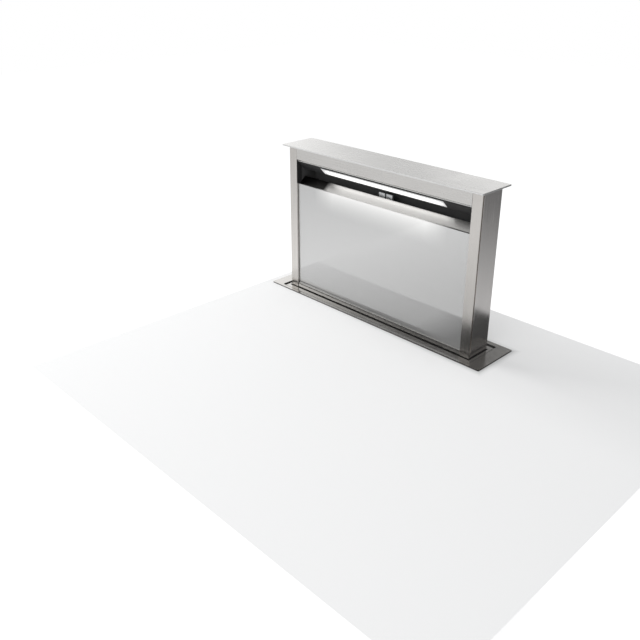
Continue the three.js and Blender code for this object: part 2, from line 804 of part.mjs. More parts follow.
// Sides and base of the housing, folded from one sheet.
function housingShell() {
  const outer = block(
    [-housingHalf, housingFront, housingBase],
    [housingHalf, housingBack, panelTop],
  );
  const inner = block(
    [-housingInner, housingFront - SHEET, housingBase + SHEET],
    [housingInner, housingBack + SHEET, panelTop + SHEET],
  );
  return cut(outer, inner);
}

// Levelling foot: rubber-soled pad, stem and lock nut.
function foot([x, y]) {
  const low = -standHeight;
  const pad = cylinder("z", [x, y, low + FOOT_PAD / 2], FOOT_RADIUS, FOOT_PAD, 24);
  const top = housingBase - SEAT;
  const stemLength = top - low - FOOT_PAD / 2;
  const stem = cylinder("z", [x, y, top - stemLength / 2], FOOT_STEM, stemLength, 16);
  const nut = cylinder("z", [x, y, top - FOOT_NUT_HEIGHT / 2], FOOT_NUT, FOOT_NUT_HEIGHT, 6);
  return join(pad, stem, nut);
}

// Angle bracket on the housing's end that holds the clamp screw under the worktop.
function clampBracket() {
  const inner = housingHalf + SEAT;
  const half = CLAMP_WIDTH / 2;
  const top = -CLAMP_DROP + CLAMP_HEIGHT / 2;
  const section = [
    block(
      [inner, towerMiddleY - half, -CLAMP_DROP - CLAMP_HEIGHT],
      [inner + CLAMP_SHEET, towerMiddleY + half, top],
    ),
    block(
      [inner, towerMiddleY - half, -CLAMP_DROP],
      [inner + CLAMP_REACH, towerMiddleY + half, -CLAMP_DROP + CLAMP_SHEET],
    ),
  ];
  const screwX = inner + CLAMP_REACH / 2 + CLAMP_SHEET;
  const hole = cylinder(
    "z",
    [screwX, towerMiddleY, -CLAMP_DROP],
    CLAMP_SCREW + SEAT,
    CLAMP_HEIGHT / 2,
    16,
  );
  return cut(join(...section), hole);
}

// Clamp screw with a pressure disc at the top and a hexagon head below.
function clampScrew() {
  const x = housingHalf + SEAT + CLAMP_REACH / 2 + CLAMP_SHEET;
  const low = -CLAMP_DROP - CLAMP_HEIGHT / 2;
  const high = CLAMP_SCREW_TOP;
  const shank = cylinder("z", [x, towerMiddleY, (low + high) / 2], CLAMP_SCREW, high - low, 16);
  const disc = cylinder("z", [x, towerMiddleY, high], CLAMP_SCREW * 2, CLAMP_SHEET, 20);
  const head = cylinder("z", [x, towerMiddleY, low], CLAMP_SCREW * 1.8, CLAMP_SCREW * 1.4, 6);
  return join(shank, disc, head);
}

// ---------------------------------------------------------------- blower

// Box open to the front, closed by the housing's rear panel, with the outlet's hole.
function blowerBox() {
  const outer = block(
    [-BLOWER_HALF, blowerFront, housingBase],
    [BLOWER_HALF, blowerBack, BLOWER_TOP],
  );
  const inner = block(
    [-BLOWER_HALF + SHEET, blowerFront - SHEET, housingBase + SHEET],
    [BLOWER_HALF - SHEET, blowerBack - SHEET, BLOWER_TOP - SHEET],
  );
  const outlet = cylinder(
    "x",
    [BLOWER_HALF, COLLAR_Y, COLLAR_Z],
    COLLAR_RADIUS - COLLAR_WALL,
    SHEET * 4,
    48,
  );
  return cut(outer, inner, outlet);
}

// Bell-mouthed ring between the housing and the wheel.
function inletRing() {
  const profile = [
    [INLET_RADIUS - SHEET, 0],
    [INLET_RADIUS + INLET_FLANGE, 0],
    [INLET_RADIUS + INLET_FLANGE, SHEET],
    [INLET_RADIUS + SHEET, SHEET],
    [INLET_RADIUS - SHEET, INLET_LIP],
    [INLET_RADIUS - SHEET * 2, INLET_LIP],
    [INLET_RADIUS - SHEET, 0],
  ];
  const points = profile.map(([radius, depth]) => new THREE.Vector2(radius, depth));
  return new THREE.LatheGeometry(points, 48).translate(0, blowerFront + SEAT, WHEEL_Z);
}

// Spiral sheet that gathers the air and leads it to the outlet.
function scrollWrap() {
  const sweep = SCROLL_FROM + 1.5 * Math.PI;
  const spiral = (step, extra) => {
    const share = step / SCROLL_STEPS;
    const angle = SCROLL_FROM - sweep * share;
    const radius = SCROLL_START + (SCROLL_END - SCROLL_START) * share + extra;
    return [radius * Math.cos(angle), WHEEL_Z + radius * Math.sin(angle)];
  };
  const steps = Array.from({ length: SCROLL_STEPS + 1 }, (_, step) => step);
  const inside = steps.map((step) => spiral(step, 0));
  const outside = steps.toReversed().map((step) => spiral(step, SHEET));
  const front = blowerFront + SEAT;
  return extrudeBack(outline([...inside, ...outside].reverse()), front, blowerBack - SHEET - SEAT);
}

// Drum wheel with forward-curved blades between a front ring and a back plate.
function fanWheel() {
  const front = WHEEL_FRONT;
  const back = front + WHEEL_WIDTH;
  const bladeLength = (WHEEL_RADIUS - WHEEL_INNER) / Math.cos(BLADE_TILT) - SHEET;
  const blades = Array.from({ length: WHEEL_BLADES }, (_, index) =>
    new THREE.BoxGeometry(bladeLength, WHEEL_WIDTH - WHEEL_RING, BLADE_THICKNESS)
      .rotateY(BLADE_TILT)
      .translate((WHEEL_RADIUS + WHEEL_INNER) / 2, (front + back) / 2, 0)
      .rotateY((index * 2 * Math.PI) / WHEEL_BLADES)
      .translate(0, 0, WHEEL_Z),
  );
  const ring = cut(
    cylinder("y", [0, front + WHEEL_RING / 2, WHEEL_Z], WHEEL_RADIUS, WHEEL_RING, 60),
    cylinder("y", [0, front, WHEEL_Z], WHEEL_INNER + WHEEL_RING * 3, WHEEL_RING * 4, 60),
  );
  const plate = cylinder("y", [0, back - WHEEL_RING / 2, WHEEL_Z], WHEEL_RADIUS, WHEEL_RING, 60);
  const hub = cylinder("y", [0, back - HUB_LENGTH / 2, WHEEL_Z], HUB_RADIUS, HUB_LENGTH, 24);
  const stub = cylinder("y", [0, back + STUB_LENGTH / 2 - SHEET, WHEEL_Z], STUB_RADIUS, STUB_LENGTH, 24);
  return join(plate, hub, stub, ...blades, ring);
}

// Fan motor bolted to the box's back, with a bore for the wheel's stub.
function fanMotor() {
  const front = WHEEL_FRONT + WHEEL_WIDTH + FAN_MOTOR_GAP;
  const back = blowerBack - SHEET - SEAT;
  const can = cylinder("y", [0, (front + back) / 2, WHEEL_Z], FAN_MOTOR_RADIUS, back - front);
  const bore = cylinder("y", [0, front, WHEEL_Z], STUB_RADIUS + RUNNING, STUB_LENGTH * 2, 24);
  return cut(can, bore);
}

// Duct collar with a flange, a bead and the flaps' hinge pins.
function outletCollar() {
  const start = BLOWER_HALF + SEAT;
  const bore = COLLAR_RADIUS - COLLAR_WALL;
  const profile = [
    [bore, 0],
    [COLLAR_RADIUS + COLLAR_FLANGE, 0],
    [COLLAR_RADIUS + COLLAR_FLANGE, COLLAR_WALL],
    [COLLAR_RADIUS, COLLAR_WALL],
    [COLLAR_RADIUS, COLLAR_LENGTH - COLLAR_BEAD * 5],
    [COLLAR_RADIUS + COLLAR_BEAD, COLLAR_LENGTH - COLLAR_BEAD * 4],
    [COLLAR_RADIUS, COLLAR_LENGTH - COLLAR_BEAD * 3],
    [COLLAR_RADIUS, COLLAR_LENGTH],
    [bore, COLLAR_LENGTH],
    [bore, 0],
  ];
  const points = profile.map(([radius, along]) => new THREE.Vector2(radius, along));
  const tube = new THREE.LatheGeometry(points, 48)
    .rotateZ(-Math.PI / 2)
    .translate(start, COLLAR_Y, COLLAR_Z);
  const pinLength = 2 * bore + COLLAR_WALL;
  const pinX = start + FLAP_INSET;
  const pins = [-1, 1].map((side) =>
    cylinder("z", [pinX, COLLAR_Y + side * FLAP_OFFSET, COLLAR_Z], FLAP_PIN, pinLength, 12),
  );
  return join(tube, ...pins);
}

// Half-round backdraught flap on its knuckle; side is 1 for the rear flap, -1 for the front one.
function backdraughtFlap(side) {
  const x = BLOWER_HALF + SEAT + FLAP_INSET;
  const radius = COLLAR_RADIUS - COLLAR_WALL - FLAP_CLEARANCE;
  const near = side * FLAP_OFFSET;
  const far = side * (radius + FLAP_CLEARANCE);
  const disc = cylinder("x", [x, COLLAR_Y, COLLAR_Z], radius, FLAP_THICKNESS, 48);
  const half = block(
    [x - FLAP_THICKNESS, COLLAR_Y + Math.min(near, far), COLLAR_Z - radius],
    [x + FLAP_THICKNESS, COLLAR_Y + Math.max(near, far), COLLAR_Z + radius],
  );
  const knuckleLength = 2 * radius - FLAP_KNUCKLE * 4;
  const hinge = [x, COLLAR_Y + near, COLLAR_Z];
  const knuckle = cylinder("z", hinge, FLAP_KNUCKLE, knuckleLength, 16);
  const bore = cylinder("z", hinge, FLAP_PIN + RUNNING, 2 * COLLAR_RADIUS, 12);
  return cut(join(common(disc, half), knuckle), bore);
}

// ---------------------------------------------------------------- electrics

const boxMiddle = () => [
  housingHalf - BOX_INSET - BOX_SIZE[0] / 2,
  housingFront - SEAT - BOX_SIZE[1] / 2,
  BOX_Z,
];

function electricBox() {
  const [width, depth, height] = BOX_SIZE;
  const body = blockAt(boxMiddle(), BOX_SIZE);
  const [x, y, z] = boxMiddle();
  const hollow = blockAt(
    [x, y - SHEET, z],
    [width - 2 * BOX_LID, depth - SHEET, height - 2 * BOX_LID],
  );
  const glandHole = cylinder("z", [x, y, z - height / 2], GLAND_RADIUS * 0.7, BOX_LID * 3, 24);
  return cut(body, hollow, glandHole);
}

function electricLid() {
  const [x, y, z] = boxMiddle();
  const [width, depth, height] = BOX_SIZE;
  return blockAt([x, y - depth / 2 - BOX_LID / 2 - SEAT, z], [width, BOX_LID, height]);
}

// Cable gland under the electric box.
function cableGland() {
  const [x, y, z] = boxMiddle();
  const top = z - BOX_SIZE[2] / 2 - SEAT;
  const nut = cylinder("z", [x, y, top - GLAND_LENGTH / 4], GLAND_RADIUS, GLAND_LENGTH / 2, 6);
  const dome = cylinder("z", [x, y, top - GLAND_LENGTH * 0.7], GLAND_RADIUS * 0.8, GLAND_LENGTH * 0.6, 24);
  const bore = cylinder("z", [x, y, top - GLAND_LENGTH / 2], GLAND_BORE, GLAND_LENGTH * 2, 20);
  return cut(join(nut, dome), bore);
}

// ---------------------------------------------------------------- assembly

const vent = new THREE.Group();
vent.name = "downdraft_vent";
vent.position.set(0, -depthCentre, standHeight);

const tower = new THREE.Group();
vent.add(tower);
addPair(tower, "tower_upright", upright(), finishes.polishedSteel);
addPair(tower, "tower_side_cover", sideCover(), finishes.polishedSteel);
add(tower, "tower_back_panel", backPanel(), finishes.brushedSteel());
add(tower, "top_beam", topBeam(), finishes.brushedSteel());
add(tower, "cap_plate", capPlate(), finishes.brushedSteel());
add(tower, "light_channel", lightChannel(), finishes.blackPaint());
add(tower, "light_trim", lightTrim(), finishes.polishedSteel());
add(tower, "light_diffuser", lightDiffuser(), finishes.lightDiffuser());
add(tower, "mouth_deflector", mouthDeflector(), finishes.polishedSteel());
add(tower, "mouth_liner", mouthLiner(), finishes.blackPaint());
add(tower, "glass_panel", glassPanel(), finishes.greyGlass());
add(tower, "glass_carrier", glassCarrier(), finishes.zincSheet());
addPair(tower, "grease_filter", filterCassette(), finishes.aluminium);
add(tower, "drip_tray", dripTray(), finishes.brushedSteel());
addPair(tower, "lift_leg", liftLeg(), finishes.zincSheet);
addPair(tower, "lift_rack", rack(), finishes.whitePlastic);
addPair(tower, "glide_shoe_upper", glideShoe(UPPER_SHOE_TOP), finishes.whitePlastic);
addPair(tower, "glide_shoe_lower", glideShoe(LEG_BOTTOM + LOWER_SHOE_RISE + SHOE_LENGTH), finishes.whitePlastic);
add(tower, "leg_crossbar", crossbar(), finishes.zincSheet());

const drive = new THREE.Group();
vent.add(drive);
add(drive, "drive_shaft", driveShaft(), finishes.gearSteel());
addPair(drive, "drive_pinion", pinion(), finishes.gearSteel);

const housing = new THREE.Group();
vent.add(housing);
add(housing, "worktop_trim", worktopTrim(), finishes.polishedSteel());
add(housing, "cap_seat_seal", seatSeal(), finishes.blackRubber());
add(housing, "slot_wiper", slotWiper(), finishes.blackRubber());
add(housing, "housing_front", frontPanel(), finishes.zincSheet());
add(housing, "housing_rear", rearPanel(), finishes.zincSheet());
add(housing, "housing_shell", housingShell(), finishes.zincSheet());
addPair(housing, "guide_rail", guideRail(), finishes.aluminium);
addPair(housing, "foot_front", foot(frontFeet), finishes.blackPlastic);
addPair(housing, "foot_rear", foot(rearFeet), finishes.blackPlastic);
addPair(housing, "worktop_clamp", clampBracket(), finishes.zincSheet);
addPair(housing, "clamp_screw", clampScrew(), finishes.gearSteel);
add(housing, "lift_gearbox", liftGearbox(), finishes.blackPlastic());
add(housing, "lift_motor", liftMotor(), finishes.gearSteel());
addPair(housing, "shaft_bearing", shaftBearing(), finishes.whitePlastic);
add(housing, "electric_box", electricBox(), finishes.zincSheet());
add(housing, "electric_box_lid", electricLid(), finishes.zincSheet());
add(housing, "cable_gland", cableGland(), finishes.blackPlastic());

const blower = new THREE.Group();
vent.add(blower);
add(blower, "blower_box", blowerBox(), finishes.zincSheet());
add(blower, "inlet_ring", inletRing(), finishes.blackPlastic());
add(blower, "scroll_wrap", scrollWrap(), finishes.zincSheet());
add(blower, "fan_wheel", fanWheel(), finishes.blackPlastic());
add(blower, "fan_motor", fanMotor(), finishes.gearSteel());
add(blower, "outlet_collar", outletCollar(), finishes.blackPlastic());
add(blower, "backdraught_flap_rear", backdraughtFlap(1), finishes.blackPlastic());
add(blower, "backdraught_flap_front", backdraughtFlap(-1), finishes.blackPlastic());

vent.userData.liftTravel = travel;

export default vent;
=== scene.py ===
"""Looks of the downdraft vent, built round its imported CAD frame."""

from __future__ import annotations

import logging
import math
from collections.abc import Iterable, Sequence
from dataclasses import dataclass, field
from enum import Enum

import bmesh
import bpy
from mathutils import Matrix, Vector

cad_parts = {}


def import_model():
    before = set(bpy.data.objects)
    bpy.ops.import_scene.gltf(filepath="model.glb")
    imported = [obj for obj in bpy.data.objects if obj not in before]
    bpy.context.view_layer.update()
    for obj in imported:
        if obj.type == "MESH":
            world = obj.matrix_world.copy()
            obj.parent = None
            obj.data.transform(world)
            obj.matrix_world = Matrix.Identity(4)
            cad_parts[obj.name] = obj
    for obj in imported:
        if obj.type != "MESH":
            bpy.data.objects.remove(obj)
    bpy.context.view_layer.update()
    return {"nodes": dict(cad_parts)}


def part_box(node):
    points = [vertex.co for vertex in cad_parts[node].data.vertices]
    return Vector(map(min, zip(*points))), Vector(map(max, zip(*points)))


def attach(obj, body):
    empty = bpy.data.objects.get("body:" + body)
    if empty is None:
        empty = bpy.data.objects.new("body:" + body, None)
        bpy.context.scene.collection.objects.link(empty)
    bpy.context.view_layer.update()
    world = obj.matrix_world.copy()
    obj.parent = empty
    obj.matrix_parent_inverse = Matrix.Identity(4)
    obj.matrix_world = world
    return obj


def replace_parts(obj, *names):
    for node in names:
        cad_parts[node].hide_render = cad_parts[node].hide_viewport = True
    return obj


log = logging.getLogger("downdraft_vent")

MM = 0.001
TRIM_TOP = 0.740  # height of the worktop trim's top face
TOWER_FRONT = -0.09685  # tower's front face along Y

# The housing's faces, in millimetres and counted as at() does.
HOUSING_HALF = 256.0
HOUSING_FRONT = -17.0
HOUSING_REAR = 75.0

SHARP_ANGLE = math.radians(32)  # edges sharper than this stay sharp in shading
FLAT_ANGLE = math.radians(0.4)  # CAD facets flatter than this are joined
BEVEL_ANGLE = math.radians(40)
BEVEL_SEGMENTS = 2
HEXAGON = 6  # sides of nuts and of their like

LINE_SCALE, BAND_SCALE = 3.0, 0.16  # of a metal's grain, in its stretched space
SMUDGE_LEVELS, DUST_LEVELS = (0.42, 0.72), (0.62, 0.74)
DUST_SCALE = 900.0  # specks a metre

Vec = tuple[float, float, float]
Rgb = tuple[float, float, float]
Span = tuple[float, float]
Profile = Sequence[tuple[float, float]]
Node = bpy.types.Node
Socket = bpy.types.NodeSocket
Value = Socket | float | Vec

RIGHT, LEFT = (1, 0, 0), (-1, 0, 0)
FORWARD, BACKWARD = (0, -1, 0), (0, 1, 0)
UP = (0, 0, 1)
BLACK, WHITE = (0.0, 0.0, 0.0), (1.0, 1.0, 1.0)


def at(x: float, y: float, z: float) -> Vec:
    """Place of a point given in millimetres from the tower's front foot, on the trim's top face.

    Args:
        x: Millimetres to the right of the centre line.
        y: Millimetres behind the tower's front face.
        z: Millimetres above the trim's top face.

    Returns:
        The point in metres, in the part's frame.
    """
    return (x * MM, TOWER_FRONT + y * MM, TRIM_TOP + z * MM)


def mm(*pairs: tuple[float, float]) -> Profile:
    """Returns pairs of millimetres in metres."""
    return [(first * MM, second * MM) for first, second in pairs]


def row(start: float, end: float, count: int) -> list[float]:
    """Returns evenly spread numbers from start to end."""
    return [start + (end - start) * i / (count - 1) for i in range(count)]


def pair(name: str) -> tuple[str, str]:
    """Returns the node names of a left and a right piece."""
    return f"{name}_left", f"{name}_right"


# ------------------------------------------------------------------ node helpers


class Grain(Enum):
    """Direction that the brushing or drawing lines of a metal run in."""

    ALONG_X = (5.0, 420.0, 420.0)
    ALONG_Z = (420.0, 420.0, 5.0)
    NONE = (160.0, 160.0, 160.0)


class Tree:
    """Short calls for placing and wiring nodes in one node tree."""

    def __init__(self, tree: bpy.types.NodeTree) -> None:
        """Keeps the tree that the nodes go into."""
        self.tree = tree

    def feed(self, target: Socket, value: Value) -> None:
        """Gives a socket what goes into it.

        Args:
            target: The socket.
            value: Socket to link it to, a number, or three numbers for a vector or colour.
        """
        if isinstance(value, Socket):
            self.tree.links.new(value, target)
        elif isinstance(value, (int, float)):
            target.default_value = value
        else:
            target.default_value = (*value, 1.0)[: len(target.default_value)]

    def into(self, node: Node, values: dict[str, Value]) -> Node:
        """Feeds a node's inputs by their names.

        Args:
            node: The node.
            values: What each named input is fed.

        Returns:
            The same node.
        """
        for name, value in values.items():
            self.feed(node.inputs[name], value)
        return node

    def add(self, kind: str, *values: Value, **settings: object) -> Node:
        """Adds a node.

        Args:
            kind: Blender's node type name.
            *values: What its first inputs are fed, in order.
            **settings: Names and values of plain properties.

        Returns:
            The new node.
        """
        node = self.tree.nodes.new(kind)
        for key, value in settings.items():
            setattr(node, key, value)
        for target, value in zip(node.inputs, values):
            self.feed(target, value)
        return node

    def math(self, operation: str, first: Value, second: Value = 0.0) -> Socket:
        """Returns the result of a math node."""
        return self.add("ShaderNodeMath", first, second, operation=operation).outputs[0]

    def rest(self, value: Value) -> Socket:
        """Returns what a value leaves of one."""
        return self.math("SUBTRACT", 1.0, value)

    def vector(self, operation: str, *values: Value) -> Socket:
        """Returns the result of a vector math node, a vector or a number."""
        node = self.add("ShaderNodeVectorMath", *values, operation=operation)
        return node.outputs["Value" if operation in ("DOT_PRODUCT", "LENGTH") else "Vector"]

    def mix(self, factor: Value, low: Value, high: Value) -> Socket:
        """Mixes two colours.

        Args:
            factor: Share of the second colour.
            low: First colour, or its socket.
            high: Second colour, or its socket.

        Returns:
            The mixed colour's socket.
        """
        node = self.add("ShaderNodeMix", factor, data_type="RGBA")
        self.feed(node.inputs[6], low)
        self.feed(node.inputs[7], high)
        return node.outputs[2]

    def range(self, value: Socket, source: Span, target: Span) -> Socket:
        """Returns a value mapped from one span to another, clamped."""
        return self.add("ShaderNodeMapRange", value, *source, *target).outputs[0]

    def place(self, kind: str = "Object") -> Socket:
        """Returns a texture coordinate."""
        return self.add("ShaderNodeTexCoord").outputs[kind]

    def axes(self) -> bpy.types.NodeOutputs:
        """Returns X, Y and Z of the object's own coordinates."""
        return self.add("ShaderNodeSeparateXYZ", self.place()).outputs

    def noise(self, vector: Socket, scale: Value, **others: float) -> Socket:
        """Adds a noise texture.

        Args:
            vector: Where it is read.
            scale: Its scale.
            **others: Other inputs by their names.

        Returns:
            The socket of its strength.
        """
        node = self.add("ShaderNodeTexNoise")
        self.into(node, {"Vector": vector, "Scale": scale, **others})
        return node.outputs["Fac"]


def open_group(
    name: str, inputs: dict[str, Value], outputs: Sequence[str]
) -> tuple[Tree, Node, Node]:
    """Starts a shared node group.

    Args:
        name: Group's name.
        inputs: Names and default values of what goes in.
        outputs: Names of the numbers that come out.

    Returns:
        The group's tree, its entry node and its exit node.
    """
    group = bpy.data.node_groups.new(name, "ShaderNodeTree")
    sockets = group.interface
    for label, value in inputs.items():
        kind = "NodeSocketFloat" if isinstance(value, float) else "NodeSocketVector"
        sockets.new_socket(name=label, in_out="INPUT", socket_type=kind).default_value = value
    for label in outputs:
        sockets.new_socket(name=label, in_out="OUTPUT", socket_type="NodeSocketFloat")
    tree = Tree(group)
    return tree, tree.add("NodeGroupInput"), tree.add("NodeGroupOutput")


def grain_group() -> bpy.types.NodeTree:
    """Builds the shared group of drawn or brushed lines, or returns it when it is there.

    Returns:
        Group with the inputs Stretch and Contrast and the outputs Lines and Bands.
    """
    name = "metal_grain"
    if name in bpy.data.node_groups:
        return bpy.data.node_groups[name]
    inputs = {"Stretch": Grain.ALONG_X.value, "Contrast": 1.0}
    tree, entry, leave = open_group(name, inputs, ("Lines", "Bands"))
    scaled = tree.vector("MULTIPLY", tree.place(), entry.outputs["Stretch"])
    centred = tree.math("SUBTRACT", tree.noise(scaled, LINE_SCALE, Detail=4.0), 0.5)
    spread = tree.math("MULTIPLY", centred, entry.outputs["Contrast"])
    bands = tree.noise(scaled, BAND_SCALE, Detail=2.0)
    tree.into(leave, {"Lines": tree.math("ADD", spread, 0.5), "Bands": bands})
    return tree.tree


def handling_group() -> bpy.types.NodeTree:
    """Builds the shared group of smudges and dust, or returns it when it is there.

    Returns:
        Group with the inputs Scale and Amount and the outputs Smudge and Dust.
    """
    name = "handling_marks"
    if name in bpy.data.node_groups:
        return bpy.data.node_groups[name]
    tree, entry, leave = open_group(name, {"Scale": 9.0, "Amount": 0.1}, ("Smudge", "Dust"))
    place = tree.place()
    wide = tree.noise(place, entry.outputs["Scale"], Detail=3.0, Distortion=0.6)
    specks = tree.noise(place, DUST_SCALE)
    for label, texture, span in (("Smudge", wide, SMUDGE_LEVELS), ("Dust", specks, DUST_LEVELS)):
        strength = tree.range(texture, span, (0.0, 1.0))
        amount = tree.math("MULTIPLY", strength, entry.outputs["Amount"])
        tree.feed(leave.inputs[label], amount)
    return tree.tree


# ------------------------------------------------------------------ finishes


def tinted(colour: Rgb, factor: float) -> Rgb:
    """Returns the colour, lighter or darker by the factor."""
    return tuple(min(1.0, channel * factor) for channel in colour)


@dataclass(frozen=True)
class Finish:
    """What every finish has: a name, the record's material slot, a colour and a gloss."""

    name: str
    slot: str
    colour: Rgb
    roughness: float

    def start(self) -> tuple[Tree, Node, bpy.types.Material]:
        """Makes an empty material.

        Returns:
            The tree helper, the Principled shader and the material.
        """
        material = bpy.data.materials.new(self.name)
        material.use_nodes = True
        material.diffuse_color = (*self.colour, 1.0)
        tree = Tree(material.node_tree)
        shader = material.node_tree.nodes["Principled BSDF"]
        tree.into(shader, {"Base Color": self.colour, "Roughness": self.roughness})
        return tree, shader, material

    def marks(self, tree: Tree, scale: float, amount: float) -> bpy.types.NodeOutputs:
        """Returns the outputs of the smudges, so many a metre, and dust of a strength."""
        node = tree.add("ShaderNodeGroup", node_tree=handling_group())
        return tree.into(node, {"Scale": scale, "Amount": amount}).outputs

    def bump(self, tree: Tree, shader: Node, height: Socket, strength: float, depth: float) -> None:
        """Feeds a height into the shader's normal.

        Args:
            tree: The material's tree.
            shader: Its Principled shader.
            height: Socket of the height.
            strength: Share of the full effect.
            depth: Depth of the relief in metres.
        """
        node = tree.add("ShaderNodeBump")
        tree.into(node, {"Strength": strength, "Distance": depth, "Height": height})
        tree.feed(shader.inputs["Normal"], node.outputs[0])

    def build(self) -> bpy.types.Material:
        """Builds the material; each kind of finish has its own way."""
        raise NotImplementedError


@dataclass(frozen=True)
class SheetMetal(Finish):
    """Bare metal with brushing or drawing lines."""

    grain: Grain = Grain.ALONG_X
    contrast: float = 1.0
    relief: float = 0.12
    relief_depth: float = 0.15 * MM
    smudge: float = 0.06
    smudge_scale: float = 11.0
    line_shades: Span = (0.86, 1.1)
    band_levels: Span = (0.3, 0.7)
    band_share: float = 0.35
    band_shade: float = 0.9
    gloss_swing: float = 0.22

    def build(self) -> bpy.types.Material:
        """Builds brushed metal: lines in colour, gloss and relief, with faint smudges.

        Returns:
            The material.
        """
        tree, shader, material = self.start()
        group = tree.add("ShaderNodeGroup", node_tree=grain_group())
        tree.into(group, {"Stretch": self.grain.value, "Contrast": self.contrast})
        lines, bands = group.outputs["Lines"], group.outputs["Bands"]
        drawn = tree.mix(lines, *(tinted(self.colour, shade) for shade in self.line_shades))
        share = tree.range(bands, self.band_levels, (0.0, self.band_share))
        banded = tree.mix(share, drawn, tinted(self.colour, self.band_shade))
        swing = tree.math("MULTIPLY", tree.math("SUBTRACT", lines, 0.5), self.gloss_swing)
        smudge = self.marks(tree, self.smudge_scale, self.smudge)["Smudge"]
        rough = tree.math("ADD", tree.math("ADD", swing, self.roughness), smudge)
        shaded = self.shaded(tree, banded)
        tree.into(shader, {"Metallic": 1.0, "Base Color": shaded, "Roughness": rough})
        self.bump(tree, shader, lines, self.relief, self.relief_depth)
        return material

    def shaded(self, tree: Tree, colour: Socket) -> Socket:
        """Returns the face's colour as it is; special sheets shade parts of it."""
        return colour


@dataclass(frozen=True)
class EdgeShadedPlate(SheetMetal):
    """Brushed plate whose upright faces carry painted shade, standing in for the dark contact line
    they mirror.
    """

    edge_shade: float = 0.16
    edge_levels: Span = (0.25, 0.75)

    def shaded(self, tree: Tree, colour: Socket) -> Socket:
        """Paints shade onto the plate's upright faces.

        Args:
            tree: The material's tree.
            colour: Colour of the brushed face.

        Returns:
            The colour with painted shade on the upright faces.
        """
        # painted shade: upright faces are darkened where the trim's edge would mirror its dark
        # contact line
        normal = tree.add("ShaderNodeNewGeometry").outputs["Normal"]
        height = tree.add("ShaderNodeSeparateXYZ", normal).outputs["Z"]
        flat = tree.range(tree.math("ABSOLUTE", height), self.edge_levels, (0.0, 1.0))
        return tree.mix(flat, tinted(self.colour, self.edge_shade), colour)


@dataclass(frozen=True)
class LipSteel(SheetMetal):
    """Polished lip with painted reflections: near black at its left end, dimmer at its right end.
    """

    dark_reflection_end: Span = (-0.152, -0.14)
    dim_reflection_end: Span = (0.1, 0.2)
    dark_reflection_shade: float = 0.04
    dim_reflection_shade: float = 0.72

    def shaded(self, tree: Tree, colour: Socket) -> Socket:
        """Paints reflections onto the lip's two ends, dark at the left and dimmer at the right.

        Args:
            tree: The material's tree.
            colour: Colour of the polished face.

        Returns:
            The colour with painted reflections at its ends.
        """
        # painted reflection: the lip's ends are darkened by X place, standing in for the dark mouth
        # ends it mirrors
        across = tree.axes()["X"]
        dim_share = tree.range(across, self.dim_reflection_end, (0.0, 1.0))
        dimmed_reflection = tree.mix(dim_share, colour, tinted(self.colour, self.dim_reflection_shade))
        lit = tree.range(across, self.dark_reflection_end, (0.0, 1.0))
        return tree.mix(lit, tinted(self.colour, self.dark_reflection_shade), dimmed_reflection)


@dataclass(frozen=True)
class ZincSheet(Finish):
    """Galvanised sheet with its spangle."""

    spangle: float = 230.0
    flower_shades: Span = (0.93, 1.06)
    flower_gloss: Span = (-0.05, 0.07)
    relief: float = 0.05
    relief_depth: float = 0.3 * MM
    smudge: float = 0.14
    smudge_scale: float = 6.0
    smudge_shade: float = 0.7
    metallic: float = 0.9

    def build(self) -> bpy.types.Material:
        """Builds zinc sheet: crystal flowers that differ in shade and gloss.

        Returns:
            The material.
        """
        tree, shader, material = self.start()
        flowers = tree.add("ShaderNodeTexVoronoi")
        tree.into(flowers, {"Vector": tree.place(), "Scale": self.spangle, "Randomness": 1.0})
        split = tree.add("ShaderNodeSeparateColor", flowers.outputs["Color"]).outputs
        smudge = self.marks(tree, self.smudge_scale, self.smudge)["Smudge"]
        shaded = tree.mix(split[0], *(tinted(self.colour, shade) for shade in self.flower_shades))
        dusty = tree.mix(smudge, shaded, tinted(self.colour, self.smudge_shade))
        swing = tuple(self.roughness + change for change in self.flower_gloss)
        gloss = tree.range(split[1], (0.0, 1.0), swing)
        rough = tree.math("ADD", gloss, smudge)
        tree.into(shader, {"Metallic": self.metallic, "Base Color": dusty, "Roughness": rough})
        self.bump(tree, shader, flowers.outputs["Distance"], self.relief, self.relief_depth)
        return material


@dataclass(frozen=True)
class MirrorGlass(Finish):
    """Toughened glass over a grey reflecting layer, with a painted glow of light at its top."""

    mirror: float = 0.66
    refraction: float = 1.52
    gloss: float = 0.02
    wash: float = 0.4
    wash_heights: Span = (TRIM_TOP + 0.188, TRIM_TOP + 0.238)
    wash_curve: float = 1.8
    wash_half: float = 0.172
    wash_full: float = 0.7
    wash_colour: Rgb = (1.0, 0.99, 0.97)
    smudge: float = 0.05
    smudge_scale: float = 5.0
    smudge_shade: float = 0.92

    def build(self) -> bpy.types.Material:
        """Builds the glass: a grey mirror with a wet gloss and a painted glow of light at its top.

        Returns:
            The material.
        """
        tree, shader, material = self.start()
        axes = tree.axes()
        # painted light: an emitted glow near the top and middle of the glass stands in for light
        # spilling from the light bar
        height = tree.range(axes["Z"], self.wash_heights, (0.0, 1.0))
        across = tree.math("ABSOLUTE", axes["X"])
        ends = tree.range(across, (self.wash_half * self.wash_full, self.wash_half), (1.0, 0.0))
        lit = tree.math("MULTIPLY", tree.math("POWER", height, self.wash_curve), ends)
        marks = self.marks(tree, self.smudge_scale, self.smudge)
        smudged = tinted(self.colour, self.smudge_shade)
        tree.into(shader, {
            "Metallic": self.mirror,
            "IOR": self.refraction,
            "Coat Weight": 1.0,
            "Coat Roughness": self.gloss,
            "Emission Color": tree.mix(lit, BLACK, self.wash_colour),
            "Emission Strength": self.wash,
            "Base Color": tree.mix(marks["Smudge"], self.colour, smudged),
            "Roughness": tree.math("ADD", marks["Dust"], self.roughness),
        })
        return material


